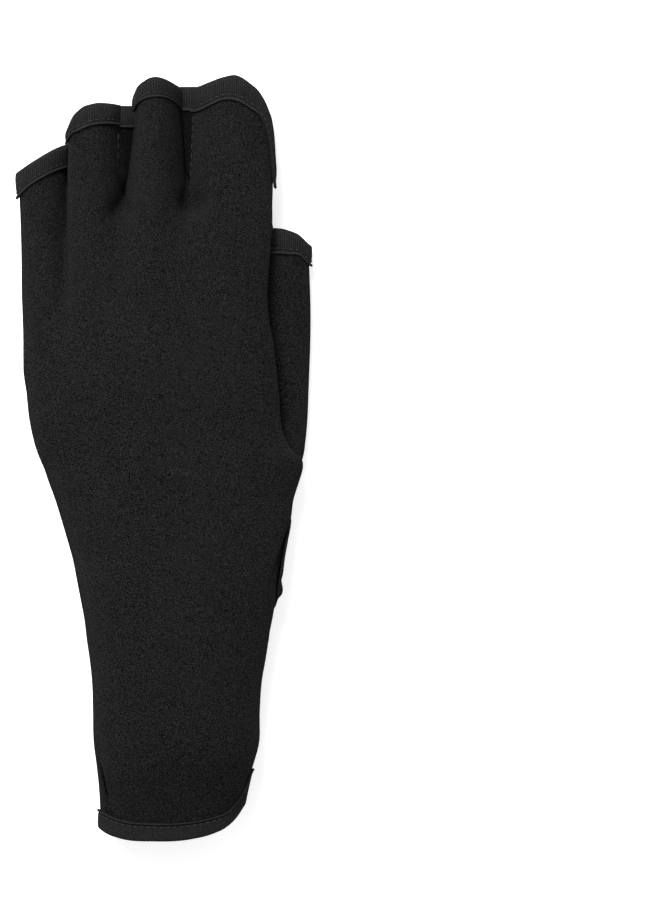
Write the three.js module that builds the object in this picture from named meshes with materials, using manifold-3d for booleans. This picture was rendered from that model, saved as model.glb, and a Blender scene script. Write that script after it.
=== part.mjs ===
// A webbed swim glove for the left hand, with half fingers, lying palm down.
// Millimetres: X runs across the hand towards the thumb, Y from the cuff to the fingertips, Z up.
import * as THREE from 'three';
import { mergeVertices } from 'three/addons/utils/BufferGeometryUtils.js';
import Module from 'manifold-3d';

const wasm = await Module();
wasm.setup();

// Driving dimensions.
const gloveLength = 255; // from the cuff's edge to the index finger's edge
const palmWidth = 84; // across the knuckles
const wristWidth = 50;
const palmDepth = 27; // height of the hand as it lies
const wristDepth = 33;
const fingerDepth = 20;
const thumbDepth = 16;
const fabric = 1.6; // thickness of the stretch cloth
const tape = 0.7; // thickness of the binding tape
const clearance = 0.3; // between neighbouring pieces
const restingSag = 2; // how far the round underside is pressed flat by the floor
const webFold = 6; // depth of a web's fold
const webWidth = 11; // width of a web's strip as folded, before the fingers trim it

// A binding stands this far off the cloth it holds.
const tapeReach = clearance + tape;

// The hand and wrist. along: share of the length. sway: middle of the width, share of the palm width.
// spread: 0 at the wrist's width, 1 at the palm's. flatten: 0 at the wrist's depth, 1 at the palm's.
// little, thumb: height of the side seams, share of the depth. lift: how far the thumb side is raised,
// share of the thumb's depth. press: 1 where the underside lies flat, 0 where a binding lies under it.
const handRows = [
  { along: -0.03, sway: 0.03, spread: -0.1, flatten: 0.1, little: 0.5, thumb: 0.5, lift: 0, press: 0 },
  { along: 0.035, sway: 0.031, spread: -0.05, flatten: 0, little: 0.5, thumb: 0.5, lift: 0, press: 0 },
  { along: 0.081, sway: 0.036, spread: -0.01, flatten: 0, little: 0.5, thumb: 0.5, lift: 0, press: 0.4 },
  { along: 0.133, sway: 0.045, spread: 0.09, flatten: 0, little: 0.49, thumb: 0.5, lift: 0, press: 0.8 },
  { along: 0.237, sway: 0.051, spread: 0.22, flatten: 0.1, little: 0.47, thumb: 0.5, lift: 0, press: 1 },
  { along: 0.315, sway: 0.055, spread: 0.42, flatten: 0.3, little: 0.44, thumb: 0.5, lift: 0.05, press: 1 },
  { along: 0.393, sway: 0.04, spread: 0.61, flatten: 0.5, little: 0.41, thumb: 0.53, lift: 0.2, press: 1 },
  { along: 0.458, sway: 0.02, spread: 0.81, flatten: 0.7, little: 0.38, thumb: 0.58, lift: 0.5, press: 1 },
  { along: 0.523, sway: -0.022, spread: 0.9, flatten: 0.85, little: 0.36, thumb: 0.64, lift: 0.75, press: 1 },
  { along: 0.6, sway: -0.06, spread: 0.93, flatten: 1, little: 0.35, thumb: 0.7, lift: 0.92, press: 1 },
  { along: 0.706, sway: -0.079, spread: 0.93, flatten: 1, little: 0.35, thumb: 0.72, lift: 0.98, press: 1 },
  { along: 0.785, sway: -0.077, spread: 0.94, flatten: 1.3, little: 0.4, thumb: 0.7, lift: 0.95, press: 0.5 },
  { along: 0.822, sway: -0.073, spread: 0.86, flatten: 1.9, little: 0.5, thumb: 0.62, lift: 0.6, press: 0 },
  { along: 0.836, sway: -0.07, spread: 0.5, flatten: 3.2, little: 0.5, thumb: 0.5, lift: 0.1, press: 0 },
];

// The fingers and the thumb. left, right: shares of the palm width. crown: top, share of the finger's
// depth. rise: underside, share of the finger's depth, on top of the room that the binding takes.
const fingerRows = {
  little: [
    { along: 0.62, left: -0.545, right: -0.3, crown: 0.9, rise: 0.15 },
    { along: 0.74, left: -0.562, right: -0.34, crown: 0.93, rise: 0.02 },
    { along: 0.82, left: -0.565, right: -0.405, crown: 0.87, rise: 0 },
    { along: 1.02, left: -0.562, right: -0.455, crown: 0.75, rise: 0 },
  ],
  ring: [
    { along: 0.62, left: -0.42, right: -0.14, crown: 1.1, rise: 0.15 },
    { along: 0.74, left: -0.41, right: -0.155, crown: 1.17, rise: 0.03 },
    { along: 0.84, left: -0.385, right: -0.172, crown: 1.16, rise: 0 },
    { along: 1.04, left: -0.37, right: -0.18, crown: 1.0, rise: 0 },
  ],
  middle: [
    { along: 0.62, left: -0.18, right: 0.12, crown: 1.2, rise: 0.15 },
    { along: 0.74, left: -0.162, right: 0.108, crown: 1.3, rise: 0.05 },
    { along: 0.84, left: -0.135, right: 0.085, crown: 1.27, rise: 0 },
    { along: 1.06, left: -0.12, right: 0.067, crown: 1.08, rise: 0 },
  ],
  index: [
    { along: 0.62, left: 0.08, right: 0.38, crown: 1.1, rise: 0.7 },
    { along: 0.75, left: 0.09, right: 0.412, crown: 1.24, rise: 0.68 },
    { along: 0.84, left: 0.11, right: 0.424, crown: 1.22, rise: 0.44 },
    { along: 1.06, left: 0.13, right: 0.42, crown: 1.04, rise: 0.03 },
  ],
};

// The height of the side seams along the fingers, shares of the finger's depth.
const fingerSeamRows = [
  { along: 0.84, little: 0.46, index: 0.84 },
  { along: 1.1, little: 0.42, index: 0.52 },
];
// The hand's rows that set the side seams. The two in front of them only round off the knuckles.
const seamedHandRows = handRows.length - 2;

const thumbRows = [
  { along: 0.87, left: 0.29, right: 0.565, crown: 0.88, rise: 0 },
  { along: 0.76, left: 0.28, right: 0.565, crown: 0.92, rise: 0 },
  { along: 0.68, left: 0.262, right: 0.565, crown: 0.98, rise: -0.1 },
  { along: 0.6, left: 0.24, right: 0.566, crown: 1.06, rise: -0.18 },
  { along: 0.53, left: 0.21, right: 0.554, crown: 1.16, rise: -0.18 },
  { along: 0.47, left: 0.18, right: 0.532, crown: 1.24, rise: -0.15 },
  { along: 0.42, left: 0.17, right: 0.497, crown: 1.24, rise: -0.08 },
  { along: 0.36, left: 0.15, right: 0.448, crown: 1.16, rise: 0.05 },
  { along: 0.3, left: 0.14, right: 0.35, crown: 1, rise: 0.2 },
];

// The openings' edges as seen from above, and where their bindings end on the cloth.
// across: share of the palm width. edge, band: shares of the length.
const openingRows = {
  little: [
    { across: -0.62, edge: 0.86, band: 0.826 },
    { across: -0.555, edge: 0.878, band: 0.849 },
    { across: -0.476, edge: 0.893, band: 0.867 },
    { across: -0.38, edge: 0.908, band: 0.88 },
  ],
  ring: [
    { across: -0.41, edge: 0.908, band: 0.884 },
    { across: -0.366, edge: 0.945, band: 0.919 },
    { across: -0.302, edge: 0.962, band: 0.938 },
    { across: -0.223, edge: 0.965, band: 0.941 },
    { across: -0.144, edge: 0.954, band: 0.928 },
  ],
  middle: [
    { across: -0.152, edge: 0.962, band: 0.941 },
    { across: -0.113, edge: 0.982, band: 0.959 },
    { across: -0.038, edge: 0.996, band: 0.971 },
    { across: 0.03, edge: 0.992, band: 0.965 },
    { across: 0.1, edge: 0.976, band: 0.949 },
  ],
  index: [
    { across: 0.09, edge: 0.976, band: 0.948 },
    { across: 0.18, edge: 0.993, band: 0.966 },
    { across: 0.267, edge: 1, band: 0.967 },
    { across: 0.346, edge: 0.987, band: 0.945 },
    { across: 0.395, edge: 0.962, band: 0.905 },
    { across: 0.425, edge: 0.918, band: 0.868 },
    { across: 0.45, edge: 0.865, band: 0.832 },
  ],
  thumb: [
    { across: 0.24, edge: 0.806, band: 0.776 },
    { across: 0.385, edge: 0.803, band: 0.772 },
    { across: 0.476, edge: 0.796, band: 0.767 },
    { across: 0.536, edge: 0.786, band: 0.76 },
    { across: 0.61, edge: 0.77, band: 0.743 },
  ],
  cuff: [
    { across: -0.31, edge: 0.045, band: 0.062 },
    { across: -0.25, edge: 0.018, band: 0.044 },
    { across: -0.148, edge: 0.003, band: 0.03 },
    { across: 0.0, edge: 0, band: 0.025 },
    { across: 0.16, edge: 0.006, band: 0.03 },
    { across: 0.263, edge: 0.026, band: 0.047 },
    { across: 0.326, edge: 0.058, band: 0.08 },
    { across: 0.4, edge: 0.085, band: 0.108 },
  ],
};

// Which way each opening faces, as seen from above.
const openingFacing = {
  little: new THREE.Vector2(-0.4, 0.92),
  ring: new THREE.Vector2(-0.1, 0.99),
  middle: new THREE.Vector2(0, 1),
  index: new THREE.Vector2(0.5, 0.87),
  thumb: new THREE.Vector2(0.15, 0.99),
  cuff: new THREE.Vector2(0.1, -0.99),
};

// The webs' folds between the fingers. tip, root: where a web ends, shares of the length.
// tipAcross, rootAcross: the valley's middle, shares of the palm width. height: of the fold's bottom,
// share of the finger's depth.
const webRows = [
  { name: 'web_index_middle', tip: 0.972, root: 0.8, tipAcross: 0.098, rootAcross: 0.098, height: 0.62 },
  { name: 'web_middle_ring', tip: 0.95, root: 0.8, tipAcross: -0.155, rootAcross: -0.153, height: 0.58 },
  { name: 'web_ring_little', tip: 0.893, root: 0.8, tipAcross: -0.403, rootAcross: -0.395, height: 0.42 },
];

// Roundness of the lofts: 2 is an ellipse, more is squarer.
const upperRoundness = 2.3;
const lowerRoundness = 2.6;
const handSides = 32;
const fingerSides = 16;

const yAt = (along) => (along - 0.5) * gloveLength;
const xAt = (across) => across * palmWidth;
const blend = THREE.MathUtils.lerp;

// Joins and cuts.
function toSolid(geometry) {
  geometry.deleteAttribute('normal');
  geometry.deleteAttribute('uv');
  const merged = mergeVertices(geometry, 1e-4);
  return new wasm.Manifold(new wasm.Mesh({
    numProp: 3,
    vertProperties: new Float32Array(merged.attributes.position.array),
    triVerts: new Uint32Array(merged.index.array),
  }));
}

// The largest body of a solid, without the slivers that a cut may leave beside it.
function mainBody(solid) {
  return solid.decompose().reduce((main, body) => (body.volume() > main.volume() ? body : main));
}

function toMesh(name, solid, material) {
  const data = solid.getMesh();
  const geometry = new THREE.BufferGeometry();
  geometry.setAttribute('position', new THREE.BufferAttribute(data.vertProperties, 3));
  geometry.setIndex(new THREE.BufferAttribute(data.triVerts, 1));
  const shaded = geometry.toNonIndexed();
  shaded.computeVertexNormals();
  const mesh = new THREE.Mesh(shaded, material);
  mesh.name = name;
  return mesh;
}

// A closed solid through rings of points, each ring counter-clockwise as seen from +Y towards -Y.
function loft(rings) {
  const sides = rings[0].length;
  const positions = rings.flat().flatMap((point) => [point.x, point.y, point.z]);
  const faces = [];
  for (let row = 0; row + 1 < rings.length; row += 1) {
    for (let side = 0; side < sides; side += 1) {
      const next = (side + 1) % sides;
      const near = row * sides;
      const far = near + sides;
      faces.push(near + side, near + next, far + next);
      faces.push(near + side, far + next, far + side);
    }
  }
  const last = (rings.length - 1) * sides;
  for (let side = 1; side + 1 < sides; side += 1) {
    faces.push(0, side + 1, side);
    faces.push(last, last + side, last + side + 1);
  }
  const geometry = new THREE.BufferGeometry();
  geometry.setAttribute('position', new THREE.Float32BufferAttribute(positions, 3));
  geometry.setIndex(faces);
  return toSolid(geometry);
}

// One ring of a sleeve, moved outwards by offset, or inwards where that is negative. The floor
// presses it flat from below.
function sleeveRing(section, offset, sides) {
  const middle = (section.left + section.right) / 2;
  const half = (section.right - section.left) / 2 + offset;
  const lowest = Math.max(0, -offset);
  const ring = [];
  for (let side = 0; side < sides; side += 1) {
    const angle = (side / sides) * 2 * Math.PI;
    const upper = Math.sin(angle) >= 0;
    const power = 2 / (upper ? upperRoundness : lowerRoundness);
    const across = Math.sign(Math.cos(angle)) * Math.abs(Math.cos(angle)) ** power;
    const share = (across + 1) / 2;
    const seam = blend(section.seamLeft, section.seamRight, share);
    const raised = section.lift * THREE.MathUtils.smoothstep(share, 0.45, 0.85);
    const reach = upper ? section.crown + offset - seam : section.floor + raised - offset - seam;
    const height = seam + reach * Math.abs(Math.sin(angle)) ** power;
    ring.push(new THREE.Vector3(middle + half * across, section.y, Math.max(lowest, height)));
  }
  return ring;
}

// Runs from the cuff to the tips, so that all rings turn the same way.
function sleeve(sections, offset, sides) {
  const ordered = [...sections].sort((a, b) => b.y - a.y);
  return loft(ordered.map((section) => sleeveRing(section, offset, sides)));
}

const handSections = handRows.map((row) => {
  const half = (wristWidth + (palmWidth - wristWidth) * row.spread) / 2;
  const crown = wristDepth + (palmDepth - wristDepth) * row.flatten;
  return {
    y: yAt(row.along),
    left: xAt(row.sway) - half,
    right: xAt(row.sway) + half,
    crown,
    seamLeft: crown * row.little,
    seamRight: crown * row.thumb,
    lift: row.lift * thumbDepth,
    floor: tapeReach * (1 - row.press) - restingSag * row.press,
  };
});

function digitSections(rows, depth) {
  return rows.map((row) => {
    const crown = row.crown * depth;
    const floor = tapeReach + row.rise * depth;
    const seam = (crown + floor) / 2;
    return {
      y: yAt(row.along),
      left: xAt(row.left),
      right: xAt(row.right),
      crown,
      seamLeft: seam,
      seamRight: seam,
      lift: 0,
      floor,
    };
  });
}

const digits = Object.fromEntries(
  Object.entries(fingerRows).map(([name, rows]) => [name, digitSections(rows, fingerDepth)]),
);
digits.thumb = digitSections(thumbRows, thumbDepth);

const hand = (offset) => sleeve(handSections, offset, handSides);
const digit = (name, offset) => sleeve(digits[name], offset, fingerSides);
const fingerNames = Object.keys(fingerRows);

function handAndFingers(offset) {
  return fingerNames.reduce((whole, name) => whole.add(digit(name, offset)), hand(offset));
}

// A tall block over the part of the plan that lies inside an opening's edge or its band's end,
// pulled back by a distance from the opening.
const farAway = 2 * gloveLength;
const tall = 3 * (palmDepth + wristDepth);
const curveSteps = 6;

function inside(name, line, back) {
  const facing = openingFacing[name];
  const towards = Math.sign(facing.y);
  const points = openingRows[name].map((row) => new THREE.Vector2(
    xAt(row.across) - facing.x * back,
    yAt(row[line]) - facing.y * back,
  ));
  const curve = new THREE.SplineCurve(points).getPoints(curveSteps);
  const start = curve[0];
  const end = curve[curve.length - 1];
  const shape = new THREE.Shape([
    new THREE.Vector2(start.x - farAway, start.y),
    ...curve,
    new THREE.Vector2(end.x + farAway, end.y),
    new THREE.Vector2(end.x + farAway, -towards * farAway),
    new THREE.Vector2(start.x - farAway, -towards * farAway),
  ]);
  const block = new THREE.ExtrudeGeometry(shape, { depth: tall, bevelEnabled: false });
  block.translate(0, 0, -tall / 3);
  return toSolid(block);
}

// What is above the side seams, which the fingers' own seams carry on.
function aboveSeams(gap) {
  const wide = 2 * palmWidth;
  const widest = handSections[seamedHandRows - 1];
  const rows = handSections.slice(0, seamedHandRows);
  for (const row of fingerSeamRows) {
    const seams = { seamLeft: row.little * fingerDepth, seamRight: row.index * fingerDepth };
    rows.push({ ...widest, y: yAt(row.along), ...seams });
  }
  rows.sort((first, second) => second.y - first.y);
  return loft(rows.map((row) => {
    const slope = (row.seamRight - row.seamLeft) / (row.right - row.left);
    const middle = (row.left + row.right) / 2;
    const height = (x) => (row.seamLeft + row.seamRight) / 2 + slope * (x - middle) + gap;
    return [
      new THREE.Vector3(wide, row.y, height(wide)),
      new THREE.Vector3(wide, row.y, tall),
      new THREE.Vector3(-wide, row.y, tall),
      new THREE.Vector3(-wide, row.y, height(-wide)),
    ];
  }));
}

// The way into the thumb starts this far behind its edge.
const thumbWayBack = 0.12 * gloveLength;

// The glove's two panels, hollow, with the fingers and the wrist open and a way into the thumb.
function panels() {
  const outside = fingerNames.reduce(
    (whole, name) => whole.add(digit(name, 0).intersect(inside(name, 'edge', tapeReach))),
    hand(0),
  );
  const way = digit('thumb', -fabric).intersect(inside('thumb', 'edge', thumbWayBack));
  const shell = outside
    .intersect(inside('cuff', 'edge', tapeReach))
    .subtract(handAndFingers(-fabric))
    .subtract(way);
  return {
    back: mainBody(shell.intersect(aboveSeams(clearance / 2))),
    palm: mainBody(shell.subtract(aboveSeams(-clearance / 2))),
  };
}

function thumbSleeve() {
  const tube = digit('thumb', 0).subtract(digit('thumb', -fabric));
  return tube.intersect(inside('thumb', 'edge', tapeReach)).subtract(handAndFingers(clearance));
}

// A tape folded round an edge: outside the cloth, over its end and inside it.
function binding(name, sleeveAt) {
  const folded = sleeveAt(tapeReach).subtract(sleeveAt(-fabric - tapeReach));
  const slot = sleeveAt(clearance).subtract(sleeveAt(-fabric - clearance));
  return folded
    .intersect(inside(name, 'edge', 0))
    .subtract(inside(name, 'band', 0))
    .subtract(slot.intersect(inside(name, 'edge', tape)));
}

// The thumb's tape is pinched under the hand's thumb side.
function thumbBinding() {
  return binding('thumb', (offset) => digit('thumb', offset)).subtract(handAndFingers(clearance));
}

// A web folded down into the valley between two fingers, clear of their cloth and their bindings.
function web(row) {
  const bottom = row.height * fingerDepth;
  const half = webWidth / 2;
  const ring = (along, across) => {
    const x = xAt(across);
    const y = yAt(along);
    return [
      new THREE.Vector3(x + half, y, bottom + webFold),
      new THREE.Vector3(x, y, bottom),
      new THREE.Vector3(x - half, y, bottom + webFold),
      new THREE.Vector3(x - half, y, bottom + webFold - fabric),
      new THREE.Vector3(x, y, bottom - fabric),
      new THREE.Vector3(x + half, y, bottom + webFold - fabric),
    ];
  };
  const strip = loft([ring(row.tip, row.tipAcross), ring(row.root, row.rootAcross)]);
  let clear = strip.subtract(handAndFingers(clearance));
  for (const name of fingerNames) {
    const bound = digit(name, tapeReach + clearance).subtract(inside(name, 'band', clearance));
    clear = clear.subtract(bound);
  }
  return clear;
}

const clothMaterial = new THREE.MeshStandardMaterial({ color: 0x1d1d1e, roughness: 0.85, metalness: 0 });
const tapeMaterial = new THREE.MeshStandardMaterial({ color: 0x252526, roughness: 0.8, metalness: 0 });
const webMaterial = new THREE.MeshStandardMaterial({ color: 0x18181a, roughness: 0.9, metalness: 0 });

const glove = new THREE.Group();
const halves = panels();
glove.add(toMesh('back_panel', halves.back, clothMaterial));
glove.add(toMesh('palm_panel', halves.palm, clothMaterial.clone()));
glove.add(toMesh('thumb_sleeve', thumbSleeve(), clothMaterial.clone()));
for (const row of webRows) {
  glove.add(toMesh(row.name, web(row), webMaterial.clone()));
}
for (const name of fingerNames) {
  glove.add(toMesh(`binding_${name}`, binding(name, (offset) => digit(name, offset)), tapeMaterial.clone()));
}
glove.add(toMesh('binding_thumb', thumbBinding(), tapeMaterial.clone()));
glove.add(toMesh('binding_cuff', binding('cuff', hand), tapeMaterial.clone()));

export default glove;
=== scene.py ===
"""A webbed swim glove for the left hand, with half fingers, lying palm down on a pale floor.

The cloth is one smooth field over the hand and its fingers, cut open at the cuff and the fingertips and
parted along the side seams. Bindings, webs, seams and stitches follow the same sleeves, in millimetres.
"""

import enum
import logging
import math
from dataclasses import dataclass, field
from typing import Any, Callable, Sequence

import bmesh
import bpy
import numpy as np
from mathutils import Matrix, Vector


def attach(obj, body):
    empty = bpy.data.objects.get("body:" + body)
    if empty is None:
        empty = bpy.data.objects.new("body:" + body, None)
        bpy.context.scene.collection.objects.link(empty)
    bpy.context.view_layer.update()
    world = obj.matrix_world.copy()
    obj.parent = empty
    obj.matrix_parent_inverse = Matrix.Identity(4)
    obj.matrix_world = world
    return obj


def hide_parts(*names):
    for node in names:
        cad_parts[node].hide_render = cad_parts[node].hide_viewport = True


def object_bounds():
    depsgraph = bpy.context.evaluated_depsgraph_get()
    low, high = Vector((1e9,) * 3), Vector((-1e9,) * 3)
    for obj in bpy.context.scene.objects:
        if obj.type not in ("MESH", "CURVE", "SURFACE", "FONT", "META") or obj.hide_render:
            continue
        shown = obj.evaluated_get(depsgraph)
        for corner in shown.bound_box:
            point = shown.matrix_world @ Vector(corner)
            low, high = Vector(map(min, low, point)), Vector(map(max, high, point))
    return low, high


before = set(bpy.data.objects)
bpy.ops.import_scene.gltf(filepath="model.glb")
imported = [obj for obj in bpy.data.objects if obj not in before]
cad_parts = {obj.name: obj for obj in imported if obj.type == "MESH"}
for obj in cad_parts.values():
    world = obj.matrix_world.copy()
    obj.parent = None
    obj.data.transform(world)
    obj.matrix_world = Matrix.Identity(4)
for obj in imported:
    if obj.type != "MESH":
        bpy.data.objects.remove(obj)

import openvdb
from mathutils import Vector

LOG = logging.getLogger("glove")
CAD_LOW, CAD_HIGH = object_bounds()
MM = 0.001
BODY = "root"

Array = np.ndarray


class Digit(enum.Enum):
    """The half fingers and the thumb."""

    LITTLE = "little"
    RING = "ring"
    MIDDLE = "middle"
    INDEX = "index"
    THUMB = "thumb"


FINGERS = (Digit.LITTLE, Digit.RING, Digit.MIDDLE, Digit.INDEX)


class Slot(enum.Enum):
    """The record's material slots."""

    CLOTH = "cloth"
    WEB = "web_cloth"
    TAPE = "binding_tape"


@dataclass(frozen=True)
class GloveSizes:
    """The glove's driving sizes in millimetres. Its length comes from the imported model."""

    length: float = (CAD_HIGH.y - CAD_LOW.y) / MM
    palm_width: float = 84.0
    palm_depth: float = 27.0
    finger_depth: float = 20.0
    thumb_depth: float = 16.0
    cloth: float = 1.6
    tape: float = 0.7
    clearance: float = 0.3
    sag: float = 2.0

    @property
    def tape_reach(self) -> float:
        """How far a binding stands off its cloth."""
        return self.tape + self.clearance

    def y(self, along: Array) -> Array:
        """The place along the glove of a share of its length, from the cuff."""
        return (np.asarray(along) - 0.5) * self.length

    def x(self, across: Array) -> Array:
        """The place across the glove of a share of the palm's width."""
        return np.asarray(across) * self.palm_width


SIZES = GloveSizes()

# The hand and the wrist. left, right: the sides, shares of the palm width. crown: the top, share of the
# palm depth. little, thumb: height of the sides' middle, shares of the crown. lift: rise of the thumb
# side, share of the thumb depth. press: 1 where the underside lies flat, 0 where a binding lies under it.
HAND_COLUMNS = ("along", "left", "right", "crown", "little", "thumb", "lift", "press")
HAND_ROWS = (
    (-0.030, -0.247, 0.280, 0.92, 0.50, 0.50, 0.00, 0.0),
    (0.030, -0.253, 0.300, 0.98, 0.50, 0.50, 0.00, 0.0),
    (0.055, -0.256, 0.312, 1.06, 0.50, 0.50, 0.00, 0.0),
    (0.081, -0.262, 0.330, 1.16, 0.50, 0.50, 0.00, 0.2),
    (0.104, -0.270, 0.352, 1.23, 0.50, 0.50, 0.00, 0.5),
    (0.126, -0.279, 0.372, 1.25, 0.49, 0.50, 0.00, 0.8),
    (0.172, -0.284, 0.376, 1.24, 0.48, 0.50, 0.00, 1.0),
    (0.211, -0.288, 0.384, 1.22, 0.47, 0.50, 0.00, 1.0),
    (0.237, -0.296, 0.398, 1.20, 0.47, 0.50, 0.00, 1.0),
    (0.263, -0.307, 0.411, 1.18, 0.46, 0.50, 0.00, 1.0),
    (0.289, -0.316, 0.427, 1.17, 0.45, 0.50, 0.02, 1.0),
    (0.315, -0.331, 0.441, 1.155, 0.44, 0.50, 0.05, 1.0),
    (0.341, -0.347, 0.453, 1.14, 0.43, 0.50, 0.08, 1.0),
    (0.367, -0.363, 0.466, 1.12, 0.42, 0.51, 0.14, 1.0),
    (0.393, -0.386, 0.482, 1.11, 0.41, 0.52, 0.18, 1.0),
    (0.419, -0.410, 0.502, 1.09, 0.40, 0.53, 0.26, 1.0),
    (0.445, -0.434, 0.512, 1.07, 0.38, 0.54, 0.36, 1.0),
    (0.471, -0.462, 0.536, 1.06, 0.375, 0.54, 0.44, 1.0),
    (0.490, -0.479, 0.550, 1.05, 0.37, 0.56, 0.52, 1.0),
    (0.502, -0.489, 0.540, 1.045, 0.37, 0.60, 0.58, 1.0),
    (0.509, -0.495, 0.510, 1.04, 0.37, 0.62, 0.63, 1.0),
    (0.523, -0.507, 0.481, 1.03, 0.36, 0.65, 0.72, 1.0),
    (0.545, -0.521, 0.462, 1.02, 0.36, 0.67, 0.80, 1.0),
    (0.580, -0.526, 0.454, 1.01, 0.35, 0.69, 0.88, 1.0),
    (0.620, -0.515, 0.442, 1.00, 0.35, 0.70, 0.94, 1.0),
    (0.655, -0.480, 0.430, 0.99, 0.35, 0.71, 0.96, 1.0),
    (0.680, -0.440, 0.414, 0.98, 0.36, 0.72, 0.98, 1.0),
    (0.710, -0.395, 0.405, 0.96, 0.37, 0.72, 0.98, 1.0),
    (0.760, -0.370, 0.415, 0.92, 0.40, 0.70, 0.96, 0.7),
    (0.810, -0.340, 0.415, 0.82, 0.44, 0.66, 0.80, 0.2),
    (0.860, -0.335, 0.410, 0.74, 0.48, 0.62, 0.60, 0.0),
)

# The half fingers and the thumb. left, right: shares of the palm width. crown: top, share of the
# digit's depth. rise: underside, share of the digit's depth above the room for its binding.
DIGIT_COLUMNS = ("along", "left", "right", "crown", "rise")
DIGIT_ROWS = {
    Digit.LITTLE: (
        (0.500, -0.482, -0.150, 1.05, 0.25),
        (0.560, -0.520, -0.180, 1.08, 0.12),
        (0.602, -0.542, -0.220, 1.08, 0.04),
        (0.641, -0.554, -0.260, 1.04, 0.00),
        (0.706, -0.566, -0.310, 0.93, 0.00),
        (0.771, -0.571, -0.345, 0.83, 0.00),
        (0.836, -0.577, -0.362, 0.77, 0.00),
        (0.900, -0.580, -0.368, 0.74, 0.00),
        (1.020, -0.582, -0.372, 0.71, 0.00),
    ),
    Digit.RING: (
        (0.600, -0.350, -0.120, 1.05, 0.20),
        (0.700, -0.375, -0.140, 1.17, 0.08),
        (0.780, -0.382, -0.150, 1.19, 0.00),
        (0.860, -0.383, -0.156, 1.17, 0.00),
        (0.940, -0.379, -0.156, 1.11, 0.00),
        (1.040, -0.376, -0.158, 1.00, 0.00),
    ),
    Digit.MIDDLE: (
        (0.600, -0.200, 0.160, 1.15, 0.20),
        (0.720, -0.190, 0.145, 1.28, 0.08),
        (0.820, -0.166, 0.118, 1.29, 0.00),
        (0.860, -0.152, 0.105, 1.26, 0.00),
        (0.900, -0.136, 0.092, 1.22, 0.00),
        (0.950, -0.121, 0.074, 1.16, 0.00),
        (1.060, -0.114, 0.060, 1.06, 0.00),
    ),
    Digit.INDEX: (
        (0.600, 0.070, 0.380, 1.05, 0.75),
        (0.700, 0.080, 0.378, 1.20, 0.74),
        (0.760, 0.086, 0.396, 1.23, 0.66),
        (0.800, 0.090, 0.420, 1.24, 0.56),
        (0.880, 0.093, 0.432, 1.20, 0.34),
        (0.960, 0.096, 0.430, 1.10, 0.14),
        (1.060, 0.098, 0.424, 1.02, 0.03),
    ),
    Digit.THUMB: (
        (0.300, 0.140, 0.330, 1.00, 0.20),
        (0.360, 0.150, 0.400, 1.16, 0.05),
        (0.420, 0.170, 0.440, 1.24, -0.08),
        (0.470, 0.180, 0.510, 1.16, -0.15),
        (0.500, 0.190, 0.547, 1.02, -0.17),
        (0.530, 0.210, 0.560, 0.93, -0.18),
        (0.600, 0.240, 0.571, 0.87, -0.18),
        (0.680, 0.262, 0.578, 0.84, -0.10),
        (0.760, 0.280, 0.572, 0.83, 0.00),
        (0.870, 0.290, 0.568, 0.81, 0.00),
    ),
}

# The heights of each digit's little side and thumb side, shares of its depth from floor to crown.
DIGIT_SIDES = {
    Digit.LITTLE: (0.55, 0.10),
    Digit.RING: (0.80, 0.15),
    Digit.MIDDLE: (0.30, 0.10),
    Digit.INDEX: (0.05, 0.60),
    Digit.THUMB: (0.35, 0.50),
}

# How far each digit's crest leans: over 0 to the little finger's side, under 0 to the thumb's.
DIGIT_LEAN = {
    Digit.LITTLE: 0.40,
    Digit.RING: 0.35,
    Digit.MIDDLE: 0.35,
    Digit.INDEX: -0.30,
    Digit.THUMB: -0.30,
}

# The openings' edges seen from above. across: share of the palm width. edge: the binding's outer edge.
# band: where the binding ends on the cloth. Both are shares of the length.
OPENING_COLUMNS = ("across", "edge", "band")
OPENING_ROWS = {
    Digit.LITTLE: (
        (-0.620, 0.856, 0.824),
        (-0.583, 0.872, 0.836),
        (-0.555, 0.879, 0.847),
        (-0.476, 0.895, 0.867),
        (-0.389, 0.908, 0.880),
        (-0.330, 0.914, 0.886),
    ),
    Digit.RING: (
        (-0.395, 0.900, 0.880),
        (-0.381, 0.924, 0.908),
        (-0.366, 0.940, 0.919),
        (-0.334, 0.954, 0.926),
        (-0.283, 0.961, 0.933),
        (-0.223, 0.962, 0.935),
        (-0.176, 0.960, 0.933),
        (-0.136, 0.956, 0.930),
    ),
    Digit.MIDDLE: (
        (-0.136, 0.940, 0.922),
        (-0.121, 0.966, 0.946),
        (-0.105, 0.981, 0.958),
        (-0.073, 0.992, 0.967),
        (-0.034, 0.996, 0.970),
        (0.006, 0.993, 0.968),
        (0.045, 0.986, 0.960),
        (0.070, 0.981, 0.951),
        (0.090, 0.978, 0.946),
    ),
    Digit.INDEX: (
        (0.085, 0.982, 0.951),
        (0.140, 0.985, 0.952),
        (0.180, 0.990, 0.958),
        (0.233, 0.996, 0.966),
        (0.285, 0.998, 0.965),
        (0.338, 0.988, 0.955),
        (0.378, 0.975, 0.943),
        (0.404, 0.957, 0.922),
        (0.416, 0.943, 0.898),
        (0.424, 0.922, 0.872),
        (0.432, 0.880, 0.848),
        (0.445, 0.850, 0.828),
    ),
    Digit.THUMB: (
        (0.240, 0.802, 0.770),
        (0.385, 0.800, 0.767),
        (0.488, 0.797, 0.766),
        (0.536, 0.790, 0.763),
        (0.560, 0.782, 0.754),
        (0.610, 0.768, 0.742),
    ),
}
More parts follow.
